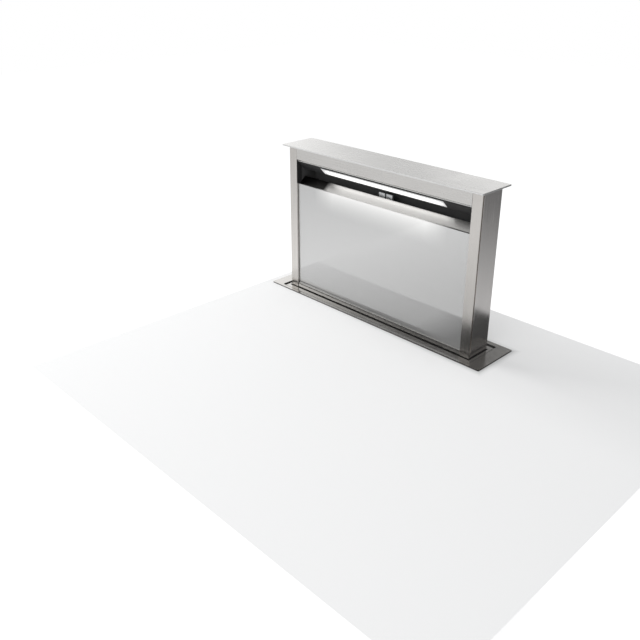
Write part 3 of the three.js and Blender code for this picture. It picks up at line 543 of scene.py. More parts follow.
@dataclass(frozen=True)
class LitDiffuser(Finish):
    """Opal cover of the light bar, lit from behind."""

    strength: float = 1.25
    pitch: float = 16.0 * MM
    dip: float = 0.85
    half_width: float = 0.1567
    fade: float = 0.02
    end_glow: float = 0.12
    middle: float = TRIM_TOP + 0.2748
    rim: Span = (3.2 * MM, 5.6 * MM)
    rim_glow: float = 0.1
    glow_colour: Rgb = (1.0, 0.99, 0.975)

    def build(self) -> bpy.types.Material:
        """Builds the lit cover: strongest over each light source, dimmer at its rim and ends.

        Returns:
            The material.
        """
        tree, shader, material = self.start()
        axes = tree.axes()
        wave = tree.math("SINE", tree.math("MULTIPLY", axes["X"], 2 * math.pi / self.pitch))
        level = tree.range(wave, (-1.0, 1.0), (self.dip, 1.0))
        across = tree.math("ABSOLUTE", axes["X"])
        end = (self.half_width - self.fade, self.half_width)
        ends = tree.range(across, end, (1.0, self.end_glow))
        height = tree.math("ABSOLUTE", tree.math("SUBTRACT", axes["Z"], self.middle))
        rim = tree.range(height, self.rim, (1.0, self.rim_glow))
        lit = tree.math("MULTIPLY", tree.math("MULTIPLY", level, ends), rim)
        glow = tree.mix(lit, BLACK, self.glow_colour)
        tree.into(shader, {"Emission Color": glow, "Emission Strength": self.strength})
        return material


@dataclass(frozen=True)
class Moulded(Finish):
    """Plastic, rubber or paint with a fine skin texture."""

    texture: float = 1400.0
    relief: float = 0.15
    relief_depth: float = 0.2 * MM
    skin_shades: Span = (0.85, 1.2)
    smudge: float = 0.12
    smudge_scale: float = 14.0
    dust: Rgb = (0.35, 0.34, 0.32)

    def build(self) -> bpy.types.Material:
        """Builds a moulded or painted skin: fine orange peel, faint dust and smudges.

        Returns:
            The material.
        """
        tree, shader, material = self.start()
        skin = tree.noise(tree.place(), self.texture, Detail=2.0)
        marks = self.marks(tree, self.smudge_scale, self.smudge)
        shade = tree.mix(skin, *(tinted(self.colour, factor) for factor in self.skin_shades))
        tree.into(shader, {
            "Base Color": tree.mix(marks["Dust"], shade, self.dust),
            "Roughness": tree.math("ADD", marks["Smudge"], self.roughness),
        })
        self.bump(tree, shader, skin, self.relief, self.relief_depth)
        return material


BRUSHED, POLISHED, PAINT = "brushed_steel", "polished_steel", "black_paint"


class Finishes(Enum):
    """Every finish of the vent."""

    CAP_STEEL = SheetMetal("cap_brushed_steel", BRUSHED, (0.95, 0.945, 0.935), 0.24)
    BEAM_STEEL = SheetMetal(
        "beam_brushed_steel", BRUSHED, (0.76, 0.745, 0.725), 0.26, Grain.ALONG_X, 1.3
    )
    FRONT_STEEL = SheetMetal(
        "upright_satin_steel", POLISHED, (0.75, 0.722, 0.692), 0.2, Grain.ALONG_Z, 1.2
    )
    SIDE_STEEL = SheetMetal(
        "side_satin_steel", POLISHED, (0.9, 0.872, 0.855), 0.17, Grain.ALONG_Z, 1.5
    )
    BACK_STEEL = SheetMetal(
        "back_brushed_steel", BRUSHED, (0.72, 0.715, 0.705), 0.32, Grain.ALONG_Z
    )
    TRIM_STEEL = EdgeShadedPlate("trim_satin_steel", POLISHED, (0.84, 0.825, 0.805), 0.16)
    RAIL_STEEL = SheetMetal("foot_rail_steel", POLISHED, (0.8, 0.79, 0.775), 0.12)
    MOUTH_STEEL = LipSteel(
        "mouth_polished_steel", POLISHED, (0.76, 0.75, 0.735), 0.3, Grain.ALONG_X, 0.8
    )
    LIGHT_TRIM_STEEL = SheetMetal("light_trim_steel", POLISHED, (0.8, 0.8, 0.79), 0.15)
    TRAY_STEEL = SheetMetal("tray_brushed_steel", BRUSHED, (0.7, 0.7, 0.69), 0.3)
    RAIL_ALUMINIUM = SheetMetal(
        "rail_drawn_aluminium", "aluminium", (0.77, 0.776, 0.784), 0.34, Grain.ALONG_Z
    )
    FILTER_ALUMINIUM = SheetMetal("filter_aluminium", "aluminium", (0.72, 0.73, 0.74), 0.36)
    GEAR_STEEL = SheetMetal(
        "machined_steel", "gear_steel", (0.545, 0.549, 0.557), 0.28, Grain.NONE
    )
    ZINC = ZincSheet("galvanised_sheet", "zinc_sheet", (0.56, 0.572, 0.582), 0.34)
    GLASS = MirrorGlass("grey_mirror_glass", "grey_glass", (0.665, 0.665, 0.66), 0.03)
    DIFFUSER = LitDiffuser("lit_opal", "light_diffuser", WHITE, 0.4)
    BLACK_PAINT = Moulded("satin_black_paint", PAINT, (0.03, 0.03, 0.031), 0.38, 700.0)
    LINER_PAINT = Moulded("mouth_dark_paint", PAINT, (0.1, 0.1, 0.1), 0.45, 700.0)
    BLACK_RUBBER = Moulded("black_rubber", "black_rubber", (0.012, 0.012, 0.012), 0.75, 900.0)
    BLACK_PLASTIC = Moulded(
        "black_moulding", "black_plastic", (0.03, 0.031, 0.033), 0.48, 1500.0, 0.25
    )
    WHITE_PLASTIC = Moulded("natural_moulding", "white_plastic", (0.74, 0.74, 0.71), 0.42, 1500.0)

    @property
    def material(self) -> bpy.types.Material:
        """The finish's material, built when it is first asked for."""
        return bpy.data.materials.get(self.value.name) or self.value.build()


# ------------------------------------------------------------------ mesh helpers


def make_object(
    name: str, mesh: bmesh.types.BMesh, finish: Finishes, edge: float
) -> bpy.types.Object:
    """Turns an edit mesh into a shaded object.

    Args:
        name: Object's name.
        mesh: Edit mesh, freed here.
        finish: Finish that it gets.
        edge: Width of the bevel on its sharp edges; 0 leaves them as they are.

    Returns:
        The new object, linked to the scene.
    """
    bmesh.ops.recalc_face_normals(mesh, faces=mesh.faces)
    data = bpy.data.meshes.new(name)
    mesh.to_mesh(data)
    mesh.free()
    data.polygons.foreach_set("use_smooth", [True] * len(data.polygons))
    data.set_sharp_from_angle(angle=SHARP_ANGLE)
    data.materials.append(finish.material)
    made = bpy.data.objects.new(name, data)
    bpy.context.scene.collection.objects.link(made)
    if edge > 0:
        modifier = made.modifiers.new("rounded_edges", "BEVEL")
        modifier.width = edge
        modifier.segments = BEVEL_SEGMENTS
        modifier.limit_method = "ANGLE"
        modifier.angle_limit = BEVEL_ANGLE
        modifier.harden_normals = True
    log.info("made %s", name)
    return made


def join_loops(
    mesh: bmesh.types.BMesh, loops: Sequence[Sequence[bmesh.types.BMVert]], ends: bool
) -> None:
    """Skins closed loops of as many points each.

    Args:
        mesh: Edit mesh to add to.
        loops: Loops of its points, in order.
        ends: Whether the first and the last loop are closed by a face.
    """
    for low, high in zip(loops, loops[1:]):
        for i, first in enumerate(low):
            j = (i + 1) % len(low)
            mesh.faces.new((first, low[j], high[j], high[i]))
    if ends:
        mesh.faces.new(list(reversed(loops[0])))
        mesh.faces.new(loops[-1])


def add_box(mesh: bmesh.types.BMesh, low: Vec, high: Vec) -> None:
    """Adds an upright box between two corners.

    Args:
        mesh: Edit mesh to add to.
        low: Its lowest corner.
        high: Its highest corner.
    """
    (x0, y0, z0), (x1, y1, z1) = low, high
    rim = ((x0, y0), (x1, y0), (x1, y1), (x0, y1))
    join_loops(mesh, [[mesh.verts.new((x, y, z)) for x, y in rim] for z in (z0, z1)], True)


def add_lathe(
    mesh: bmesh.types.BMesh, profile: Profile, centre: Vec, normal: Vec, sides: int = 24
) -> None:
    """Adds a turned solid or closed ring round an axis.

    Args:
        mesh: Edit mesh to add to.
        profile: Pairs of radius and height; a radius of 0 closes an end.
        centre: Point on the axis at height 0.
        normal: Direction of the axis.
        sides: Facets round the axis.
    """
    facing = Vector(UP).rotation_difference(Vector(normal)).to_matrix().to_4x4()
    turn = Matrix.Translation(centre) @ facing
    angles = [2 * math.pi * i / sides for i in range(sides)]
    rings = []
    for radius, height in profile:
        spots = [(radius * math.cos(a), radius * math.sin(a), height) for a in angles]
        if radius < 1e-7:
            spots = [(0, 0, height)]
        rings.append([mesh.verts.new(turn @ Vector(spot)) for spot in spots])
    if min(len(rings[0]), len(rings[-1])) > 1:
        rings.append(rings[0])
    for low, high in zip(rings, rings[1:]):
        for i in range(sides):
            steps = ((low, i), (low, i + 1), (high, i + 1), (high, i))
            corners = list(dict.fromkeys(ring[step % len(ring)] for ring, step in steps))
            if len(corners) > 2:
                mesh.faces.new(corners)


def add_screw_head(mesh: bmesh.types.BMesh, centre: Vec, normal: Vec, radius: float) -> None:
    """Adds a domed screw head with a six-sided socket.

    Args:
        mesh: Edit mesh to add to.
        centre: Middle of the head's seat.
        normal: Direction that the head faces.
        radius: Head's radius in metres.
    """
    rise = radius * 0.55
    dome = [(0.0, 0.0), (radius, 0.0), (radius, rise * 0.25), (radius * 0.86, rise * 0.7)]
    rim = [(radius * 0.55, rise), (radius * 0.42, rise)]
    socket = [(radius * 0.4, rise * 0.35), (0.0, rise * 0.3)]
    add_lathe(mesh, [*dome, *rim, *socket], centre, normal, 18)


@dataclass(frozen=True)
class PlateForm:
    """Raised plate or bead with round corners on an upright face, in millimetres.

    Attributes:
        width: Its width at the foot.
        height: Its height at the foot.
        corner: Corner radius.
        rise: How far it stands out.
        slope: How far its flanks lean in.
    """

    width: float
    height: float
    corner: float
    rise: float
    slope: float


def add_plate(mesh: bmesh.types.BMesh, centre: Vec, normal: Vec, form: PlateForm) -> None:
    """Adds a raised plate or bead.

    Args:
        mesh: Edit mesh to add to.
        centre: Middle of its foot, in metres.
        normal: Level direction that it rises in.
        form: Its sizes.
    """
    rise, slope = form.rise, form.slope
    out = Vector(normal)
    side = Vector(UP).cross(out).normalized()
    up = out.cross(side).normalized()
    loops = []
    flank = ((0.0, 0.0), (0.0, rise * 0.15), (slope * 0.6, rise * 0.75), (slope, rise))
    for inset, height in flank:
        half_w, half_h = form.width / 2 - inset, form.height / 2 - inset
        radius = max(form.corner - inset, form.corner * 0.3)
        loop = []
        for quarter, (sx, sy) in enumerate(((1, 1), (-1, 1), (-1, -1), (1, -1))):
            for angle in row(quarter * math.pi / 2, (quarter + 1) * math.pi / 2, 5):
                x = sx * (half_w - radius) + radius * math.cos(angle)
                y = sy * (half_h - radius) + radius * math.sin(angle)
                spot = Vector(centre) + (side * x + up * y + out * height) * MM
                loop.append(mesh.verts.new(spot))
        loops.append(loop)
    join_loops(mesh, loops, True)


def add_thread(
    mesh: bmesh.types.BMesh, centre: Vec, length: float, radius: float, pitch: float
) -> None:
    """Adds an upright threaded rod.

    Args:
        mesh: Edit mesh to add to.
        centre: Middle of its lower end.
        length: Its length.
        radius: Radius over the crests.
        pitch: Rise per turn.
    """
    sides = 12
    steps = int(length / pitch * sides)
    core = radius * 0.84
    rows = []
    for k in range(steps + 1):
        angle = 2 * math.pi * k / sides
        spots = []
        for share, spread in ((0.0, core), (0.5, radius), (1.0, core)):
            z = min(length, max(0.0, length * k / steps + (share - 0.5) * pitch))
            spots.append(Vector((spread * math.cos(angle), spread * math.sin(angle), z)))
        rows.append([mesh.verts.new(Vector(centre) + spot) for spot in spots])
    for first, second in zip(rows, rows[1:]):
        for i in range(2):
            mesh.faces.new((first[i], second[i], second[i + 1], first[i + 1]))
    add_lathe(mesh, [(0.0, 0.0), (core, 0.0), (core, length), (0.0, length)], centre, UP, sides)


@dataclass
class Assembly:
    """A group of pieces that rides on one CAD body.

    Lengths among the fields of a sub-assembly are in millimetres, or in metres where MM is named.
    """

    nodes: dict[str, bpy.types.Object]
    body: str = "housing"
    edge: float = 0.35 * MM

    def dress(self, names: Iterable[str], finish: Finishes, edge: float | None = None) -> None:
        """Replaces CAD nodes by cleaned copies with rounded edges and a finish.

        Args:
            names: CAD nodes.
            finish: Finish that they get.
            edge: Bevel's width in metres, 0 for none, or else the assembly's own.
        """
        for name in names:
            mesh = bmesh.new()
            mesh.from_mesh(self.nodes[name].data)
            bmesh.ops.remove_doubles(mesh, verts=mesh.verts, dist=1e-6)
            bmesh.ops.dissolve_limit(
                mesh,
                angle_limit=FLAT_ANGLE,
                verts=mesh.verts,
                edges=mesh.edges,
                delimit={"NORMAL"},
            )
            made = self.add(f"{name}_dressed", mesh, finish, self.edge if edge is None else edge)
            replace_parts(made, name)

    def add(
        self, name: str, mesh: bmesh.types.BMesh, finish: Finishes, edge: float = 0.0
    ) -> bpy.types.Object:
        """Adds a new piece that rides on the assembly's body.

        Args:
            name: Piece's name.
            mesh: Edit mesh.
            finish: Finish that it gets.
            edge: Bevel's width, or 0.

        Returns:
            The new piece.
        """
        made = make_object(name, mesh, finish, edge)
        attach(made, self.body)
        return made

    def screws(
        self, name: str, places: Iterable[Vec], normal: Vec, radius: float = 3.2 * MM
    ) -> None:
        """Adds a set of screw heads as one piece.

        Args:
            name: Piece's name.
            places: Middles of their seats.
            normal: Direction that they face.
            radius: Head's radius.
        """
        mesh = bmesh.new()
        for place in places:
            add_screw_head(mesh, place, normal, radius)
        self.add(name, mesh, Finishes.GEAR_STEEL)


# ------------------------------------------------------------------ sub-assemblies


@dataclass
class TowerShell(Assembly):
    """Cap, beam, uprights, side covers and back panel."""

    body: str = "tower"
    back_face: float = 57.7
    screw_x: float = 234.0
    screw_heights: tuple[float, float, int] = (20, 306, 5)
    screw_radius: float = 2.8 * MM

    def build(self) -> None:
        """Dresses the shell and sets the back panel's screws."""
        self.dress(["cap_plate"], Finishes.CAP_STEEL, 0.5 * MM)
        self.dress(["top_beam"], Finishes.BEAM_STEEL)
        self.dress(pair("tower_upright"), Finishes.FRONT_STEEL)
        self.dress(pair("tower_side_cover"), Finishes.SIDE_STEEL)
        self.dress(["tower_back_panel"], Finishes.BACK_STEEL)
        heights = row(*self.screw_heights)
        places = [at(x, self.back_face, z) for x in (-self.screw_x, self.screw_x) for z in heights]
        self.screws("back_panel_screws", places, BACKWARD, self.screw_radius)


@dataclass
class SuctionMouth(Assembly):
    """Lip, light, liner, filters and tray."""

    body: str = "tower"
    cheek_low: Vec = (221.9, 1.0, 238.8)
    cheek_high: Vec = (222.4, 13.8, 290.7)
    mesh_x: Span = (11.0, 200.0)
    mesh_z: Span = (17.0, 237.5)
    mesh_faces: Span = (26.2, 34.2)
    mesh_pitch: float = 7.0
    wire_half: Span = (0.45, 0.35)

    def build(self) -> None:
        """Dresses the mouth's pieces and weaves the filters' faces."""
        self.dress(["mouth_deflector"], Finishes.MOUTH_STEEL, 0.3 * MM)
        self.cheeks()
        self.dress(["light_channel"], Finishes.BLACK_PAINT, 0.25 * MM)
        self.dress(["mouth_liner"], Finishes.LINER_PAINT, 0.25 * MM)
        self.dress(["light_trim"], Finishes.LIGHT_TRIM_STEEL, 0.2 * MM)
        self.dress(["light_diffuser"], Finishes.DIFFUSER, 0.2 * MM)
        self.dress(["drip_tray"], Finishes.TRAY_STEEL)
        self.dress(pair("grease_filter"), Finishes.FILTER_ALUMINIUM)
        for side, name in ((-1, "left"), (1, "right")):
            self.filter_face(name, side)

    def cheeks(self) -> None:
        """Adds the thin dark plates at both ends of the mouth."""
        (near, front, low), (far, back, high) = self.cheek_low, self.cheek_high
        mesh = bmesh.new()
        for left, right in ((-far, -near), (near, far)):
            add_box(mesh, at(left, front, low), at(right, back, high))
        self.add("mouth_cheeks", mesh, Finishes.BLACK_PAINT)

    def filter_face(self, name: str, side: int) -> None:
        """Lays crossed wires over both faces of one filter's sheet.

        Args:
            name: Side's name.
            side: 1 on the right, -1 on the left.
        """
        mesh = bmesh.new()
        half, thick = self.wire_half
        left, right = sorted(side * x for x in self.mesh_x)
        low, high = self.mesh_z
        for y in self.mesh_faces:
            for x in row(left, right, int((right - left) / self.mesh_pitch)):
                add_box(mesh, at(x - half, y - thick, low), at(x + half, y + thick, high))
            for z in row(low, high, int((high - low) / self.mesh_pitch)):
                add_box(mesh, at(left, y - thick, z - half), at(right, y + thick, z + half))
        self.add(f"filter_wires_{name}", mesh, Finishes.FILTER_ALUMINIUM)


@dataclass
class GlassFront(Assembly):
    """Glass panel, the steel tray that holds it and the rail along its foot."""

    body: str = "tower"
    rail_low: Vec = (-221.6, 0.8, -18.0)
    rail_high: Vec = (221.6, 3.8, 8.6)

    def build(self) -> None:
        """Dresses the glass and its carrier and adds the foot rail."""
        self.dress(["glass_panel"], Finishes.GLASS, 0.5 * MM)
        self.dress(["glass_carrier"], Finishes.ZINC)
        mesh = bmesh.new()
        add_box(mesh, at(*self.rail_low), at(*self.rail_high))
        self.add("glass_foot_rail", mesh, Finishes.RAIL_STEEL, 0.5 * MM)


@dataclass
class WorktopSeat(Assembly):
    """Trim with the cap's seat, its lining and the wiper."""

    def build(self) -> None:
        """Dresses the trim, its lining and the wiper."""
        self.dress(["worktop_trim"], Finishes.TRIM_STEEL, 0.4 * MM)
        self.dress(["cap_seat_seal", "slot_wiper"], Finishes.BLACK_RUBBER, 0.2 * MM)


@dataclass
class LiftGear(Assembly):
    """Legs, racks, shaft, drive and guides."""

    def build(self) -> None:
        """Dresses what moves with the tower, what turns and what stands still."""
        moving = LiftGear(self.nodes, "tower")
        moving.dress([*pair("lift_leg"), "leg_crossbar"], Finishes.ZINC)
        moving.dress(pair("lift_rack"), Finishes.WHITE_PLASTIC, 0.0)
        shoes = [*pair("glide_shoe_upper"), *pair("glide_shoe_lower")]
        moving.dress(shoes, Finishes.WHITE_PLASTIC)
        turning = LiftGear(self.nodes, "drive_shaft_set")
        turning.dress(["drive_shaft"], Finishes.GEAR_STEEL)
        turning.dress(pair("drive_pinion"), Finishes.GEAR_STEEL, 0.0)
        self.dress(pair("guide_rail"), Finishes.RAIL_ALUMINIUM)
        self.dress(pair("shaft_bearing"), Finishes.WHITE_PLASTIC)
        self.dress(["lift_gearbox"], Finishes.BLACK_PLASTIC, 1.0 * MM)
        self.dress(["lift_motor"], Finishes.GEAR_STEEL)


@dataclass
class Cabinet(Assembly):
    """Sheet housing, feet and clamps."""

    bead: PlateForm = PlateForm(420.0, 9.0, 4.4, 1.6, 2.6)
    front_beads: tuple[float, ...] = (-300.0, -365.0)
    rear_beads: tuple[float, ...] = (-110.0, -220.0, -330.0)
    edge_screw_x: float = 246.0
    edge_screws: tuple[float, float, int] = (-30, -690, 8)
    foot_screw_z: float = -704.0
    foot_screws: tuple[float, float, int] = (-170, 170, 4)
    cover: PlateForm = PlateForm(400.0, 250.0, 8.0, 1.2, 0.3)
    cover_pressing: PlateForm = PlateForm(340.0, 190.0, 14.0, 1.6, 3.0)
    cover_z: float = -545.0
    cover_screw_inset: float = 12.0
    cover_screws: int = 4
    weld_ring: Profile = ((1.35, 0), (3, 0), (2.7, 0.22), (1.8, 0.22))
    weld_depths: Span = (-9, 67)
    weld_heights: tuple[float, float, int] = (-150, -690, 10)
    foot_pad: Profile = (
        (0, 0), (14.4, 0), (15, 0.8), (15, 4), (13.6, 5.6), (7, 6.6), (5.6, 8.4), (0, 8.4)
    )
    foot_nut: Profile = ((0, 0), (6.6, 0), (8, 0.7), (8, 5.3), (6.6, 6), (0, 6))
    foot_thread: Span = (4.0 * MM, 1.25 * MM)  # radius and pitch
    foot_thread_start: float = 8.0 * MM
    clamp_disc: Profile = ((0, 0), (5.2, 0), (6, 0.5), (6, 2), (0, 2))
    clamp_head: Profile = ((0, 0), (4.4, 0), (5.4, 0.7), (5.4, 4.2), (0, 4.2))
    clamp_thread: Span = (3.0 * MM, 1.2 * MM)
    clamp_thread_insets: Span = (3.0 * MM, 1.0 * MM)  # above the head's foot, below the disc's top
    bracket_face: float = 258.3
    bracket_screw_depths: Span = (17, 41)
    bracket_screw_z: float = -95.0
    bracket_screw_radius: float = 3.4 * MM

    def build(self) -> None:
        """Dresses the housing and adds its beads, cover, welds, screws and feet."""
        self.dress(["housing_shell", "housing_front", "housing_rear"], Finishes.ZINC)
        self.beads()
        self.access_cover()
        self.welds()
        heights = row(*self.edge_screws)
        sides = [(x, z) for x in (-self.edge_screw_x, self.edge_screw_x) for z in heights]
        front = sides + [(x, self.foot_screw_z) for x in row(*self.foot_screws)]
        self.screws("front_panel_screws", [at(x, HOUSING_FRONT, z) for x, z in front], FORWARD)
        self.screws("rear_panel_screws", [at(x, HOUSING_REAR, z) for x, z in sides], BACKWARD)
        self.feet()
        self.clamps()

    def beads(self) -> None:
        """Adds the pressed stiffening beads of the front and rear panel."""
        for name, y, out, heights in (
            ("front", HOUSING_FRONT, FORWARD, self.front_beads),
            ("rear", HOUSING_REAR, BACKWARD, self.rear_beads),
        ):
            mesh = bmesh.new()
            for z in heights:
                add_plate(mesh, at(0, y, z), out, self.bead)
            self.add(f"{name}_panel_beads", mesh, Finishes.ZINC)

    def access_cover(self) -> None:
        """Adds the screwed cover over the front panel's service hole."""
        face = HOUSING_FRONT - self.cover.rise
        mesh = bmesh.new()
        add_plate(mesh, at(0, HOUSING_FRONT, self.cover_z), FORWARD, self.cover)
        add_plate(mesh, at(0, face, self.cover_z), FORWARD, self.cover_pressing)
        self.add("service_cover", mesh, Finishes.ZINC)
        inset = self.cover_screw_inset
        half_w, half_h = self.cover.width / 2 - inset, self.cover.height / 2 - inset
        across = row(-half_w, half_w, self.cover_screws)
        places = [(x, z) for x in across for z in (-half_h, half_h)]
        places += [(x, 0) for x in (-half_w, half_w)]
        seats = [at(x, face, self.cover_z + z) for x, z in places]
        self.screws("service_cover_screws", seats, FORWARD)

    def welds(self) -> None:
        """Adds the rows of spot welds down the housing's sides."""
        mesh = bmesh.new()
        ring = mm(*self.weld_ring)
        for side in (-1, 1):
            for y in self.weld_depths:
                for z in row(*self.weld_heights):
                    add_lathe(mesh, ring, at(side * HOUSING_HALF, y, z), (side, 0, 0), 14)
        self.add("spot_welds", mesh, Finishes.ZINC)

    def feet(self) -> None:
        """Builds the levelling feet: a turned pad, a threaded stem and its nut."""
        turned, nut = mm(*self.foot_pad), mm(*self.foot_nut)
        for name in (*pair("foot_front"), *pair("foot_rear")):
            low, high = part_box(name)
            x, y = (low.x + high.x) / 2, (low.y + high.y) / 2
            pad = bmesh.new()
            add_lathe(pad, turned, (x, y, low.z), UP, 36)
            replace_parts(self.add(f"{name}_pad", pad, Finishes.BLACK_PLASTIC), name)
            stem = bmesh.new()
            start = low.z + self.foot_thread_start
            add_thread(stem, (x, y, start), high.z - start, *self.foot_thread)
            add_lathe(stem, nut, (x, y, high.z - nut[-1][1]), UP, HEXAGON)
            self.add(f"{name}_stem", stem, Finishes.GEAR_STEEL)

    def clamps(self) -> None:
        """Dresses the brackets and builds the clamp screws with their threads."""
        self.dress(pair("worktop_clamp"), Finishes.ZINC, 0.5 * MM)
        disc, head = mm(*self.clamp_disc), mm(*self.clamp_head)
        start, end = self.clamp_thread_insets
        for side, name in zip((-1, 1), pair("clamp_screw")):
            low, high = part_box(name)
            x, y = (low.x + high.x) / 2, (low.y + high.y) / 2
            mesh = bmesh.new()
            foot = low.z + start
            add_thread(mesh, (x, y, foot), high.z - foot - end, *self.clamp_thread)
            add_lathe(mesh, disc, (x, y, high.z - disc[-1][1]), UP, 28)
            add_lathe(mesh, head, (x, y, low.z), UP, HEXAGON)
            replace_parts(self.add(f"{name}_threaded", mesh, Finishes.GEAR_STEEL), name)
            across = side * self.bracket_face
            seats = [at(across, y, self.bracket_screw_z) for y in self.bracket_screw_depths]
            facing, radius = (side, 0, 0), self.bracket_screw_radius
            self.screws(f"{name}_bracket_screws", seats, facing, radius)


@dataclass
class ElectricBox(Assembly):
    """Terminal box, its lid and the cable gland."""

    screw_inset: float = 7.0
    screw_radius: float = 2.8 * MM
    louvre: PlateForm = PlateForm(2.6, 44.0, 1.2, 0.5, 0.3)
    louvre_start: float = 95.0
    louvre_pitch: float = 6.0
    louvres: int = 7
    knock_out_ring: Profile = ((8.55, 0), (9.5, 0), (9.5, 0.15), (8.55, 0.15))
    knock_out_places: Span = (0.3, 0.7)
    gland_bore: float = 4.0
    gland_nut_radius: float = 9.0
    gland_tip: Profile = ((5.6, 0), (6.9, 1.4))
    gland_neck: float = 7.2
    gland_tops: Span = (0.45, 0.52)  # of the nut and the dome, as shares of the gland's height
    flutes: int = 14
    flute_circle: float = 7.1 * MM
    flute_start: float = 2.0 * MM
    flute_foot: Span = (0.5, 0.4)
    flute_tops: Span = (0.4, 0.42)

    def build(self) -> None:
        """Dresses the box, sets its lid's screws and vents, and builds the gland."""
        self.dress(["electric_box"], Finishes.ZINC)
        self.dress(["electric_box_lid"], Finishes.ZINC, 0.6 * MM)
        low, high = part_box("electric_box_lid")
        inset = self.screw_inset * MM
        xs, zs = (low.x + inset, high.x - inset), (low.z + inset, high.z - inset)
        corners = [(x, low.y, z) for x in xs for z in zs]
        self.screws("lid_screws", corners, FORWARD, self.screw_radius)
        mesh = bmesh.new()
        for index in range(self.louvres):
            x = low.x + (self.louvre_start + index * self.louvre_pitch) * MM
            middle = (x, low.y, (low.z + high.z) / 2)
            add_plate(mesh, middle, FORWARD, self.louvre)
        self.add("lid_louvres", mesh, Finishes.BLACK_PAINT)
        self.knock_outs()
        self.gland()

    def knock_outs(self) -> None:
        """Adds the punched knock-outs for other cable ways in the box's sides."""
        low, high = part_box("electric_box")
        ring = mm(*self.knock_out_ring)
        mesh = bmesh.new()
        for x, out in ((low.x, LEFT), (high.x, RIGHT)):
            for share in self.knock_out_places:
                z = low.z + (high.z - low.z) * share
                add_lathe(mesh, ring, (x, (low.y + high.y) / 2, z), out, 28)
        self.add("terminal_box_knock_outs", mesh, Finishes.BLACK_PAINT)

    def gland(self) -> None:
        """Builds the cable gland with its fluted dome nut."""
        low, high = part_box("cable_gland")
        x, y = (low.x + high.x) / 2, (low.y + high.y) / 2
        tall = (high.z - low.z) / MM
        bore, rim = self.gland_bore, self.gland_nut_radius
        collar, top = (tall * share for share in self.gland_tops)
        nut = mm((bore, 0), (rim, 0), (rim, collar), (bore, collar))
        dome = mm((bore, 0), *self.gland_tip, (self.gland_neck, top), (bore, top))
        side, end = (tall * share for share in self.flute_tops)
        flute = mm((0, 0), self.flute_foot, (self.flute_foot[0], side), (0, end))
        mesh = bmesh.new()
        add_lathe(mesh, nut, (x, y, high.z - collar * MM), UP, HEXAGON)
        add_lathe(mesh, dome, (x, y, low.z), UP, 28)
        for index in range(self.flutes):
            angle = 2 * math.pi * index / self.flutes
            away = Vector((math.cos(angle), math.sin(angle), 0.0)) * self.flute_circle
            foot = Vector((x, y, low.z + self.flute_start)) + away
            add_lathe(mesh, flute, foot, UP, HEXAGON)
        made = self.add("cable_gland_fluted", mesh, Finishes.BLACK_PLASTIC)
        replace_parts(made, "cable_gland")


@dataclass
class Blower(Assembly):
    """Blower case, wheel, motor, collar and flaps."""

    screw_inset: float = 8.0
    screw_counts: tuple[int, int] = (5, 4)  # across and up the case
    pressing: PlateForm = PlateForm(250.0, 220.0, 18.0, 2.2, 4.0)
    rib_places: tuple[float, ...] = (-0.6, -0.2, 0.2, 0.6)
    rib_start: float = 4.0 * MM
    rib_margin: float = 7.0 * MM
    rib_half: float = 0.8 * MM
    rib_seat: float = 0.4 * MM
    rib_rise: float = 1.0 * MM

    def build(self) -> None:
        """Dresses the case and its inside, and adds the case's screws and pressing."""
        self.dress(["blower_box"], Finishes.ZINC, 0.6 * MM)
        self.dress(["scroll_wrap"], Finishes.ZINC, 0.0)
        self.dress(["inlet_ring"], Finishes.BLACK_PLASTIC, 0.0)
        self.dress(["fan_motor"], Finishes.GEAR_STEEL, 1.2 * MM)
        Blower(self.nodes, "fan").dress(["fan_wheel"], Finishes.BLACK_PLASTIC, 0.0)
        self.dress(["outlet_collar"], Finishes.BLACK_PLASTIC, 0.3 * MM)
        for side, name in ((1, "rear"), (-1, "front")):
            Blower(self.nodes, f"flap_{name}").flap(f"backdraught_flap_{name}", side)
        low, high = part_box("blower_box")
        inset = self.screw_inset * MM
        across, up = self.screw_counts
        xs = row(low.x + inset, high.x - inset, across)
        zs = row(low.z + inset, high.z - inset, up)
        rim = [(x, high.y, z) for x in xs for z in (zs[0], zs[-1])]
        rim += [(x, high.y, z) for x in (xs[0], xs[-1]) for z in zs[1:-1]]
        self.screws("blower_case_screws", rim, BACKWARD)
        mesh = bmesh.new()
        middle = ((low.x + high.x) / 2, high.y, (low.z + high.z) / 2)
        add_plate(mesh, middle, BACKWARD, self.pressing)
        self.add("blower_case_pressing", mesh, Finishes.ZINC)

    def flap(self, node: str, side: int) -> None:
        """Dresses one backdraught flap and stiffens its outer face with ribs.

        Args:
            node: The flap's node.
            side: 1 for the rear flap, -1 for the front one.
        """
        self.dress([node], Finishes.BLACK_PLASTIC, 0.2 * MM)
        low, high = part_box(node)
        face = (low.x + high.x) / 2 + self.rib_seat
        hinge = low.y if side > 0 else high.y
        radius = (high.z - low.z) / 2
        mesh = bmesh.new()
        for share in self.rib_places:
            reach = radius * math.sqrt(1 - share * share) - self.rib_margin
            near, far = sorted((hinge + side * self.rib_start, hinge + side * reach))
            z = (low.z + high.z) / 2 + share * radius
            start, end = z - self.rib_half, z + self.rib_half
            add_box(mesh, (face, near, start), (face + self.rib_rise, far, end))
        self.add(f"{node}_ribs", mesh, Finishes.BLACK_PLASTIC, 0.2 * MM)


# ------------------------------------------------------------------ studio


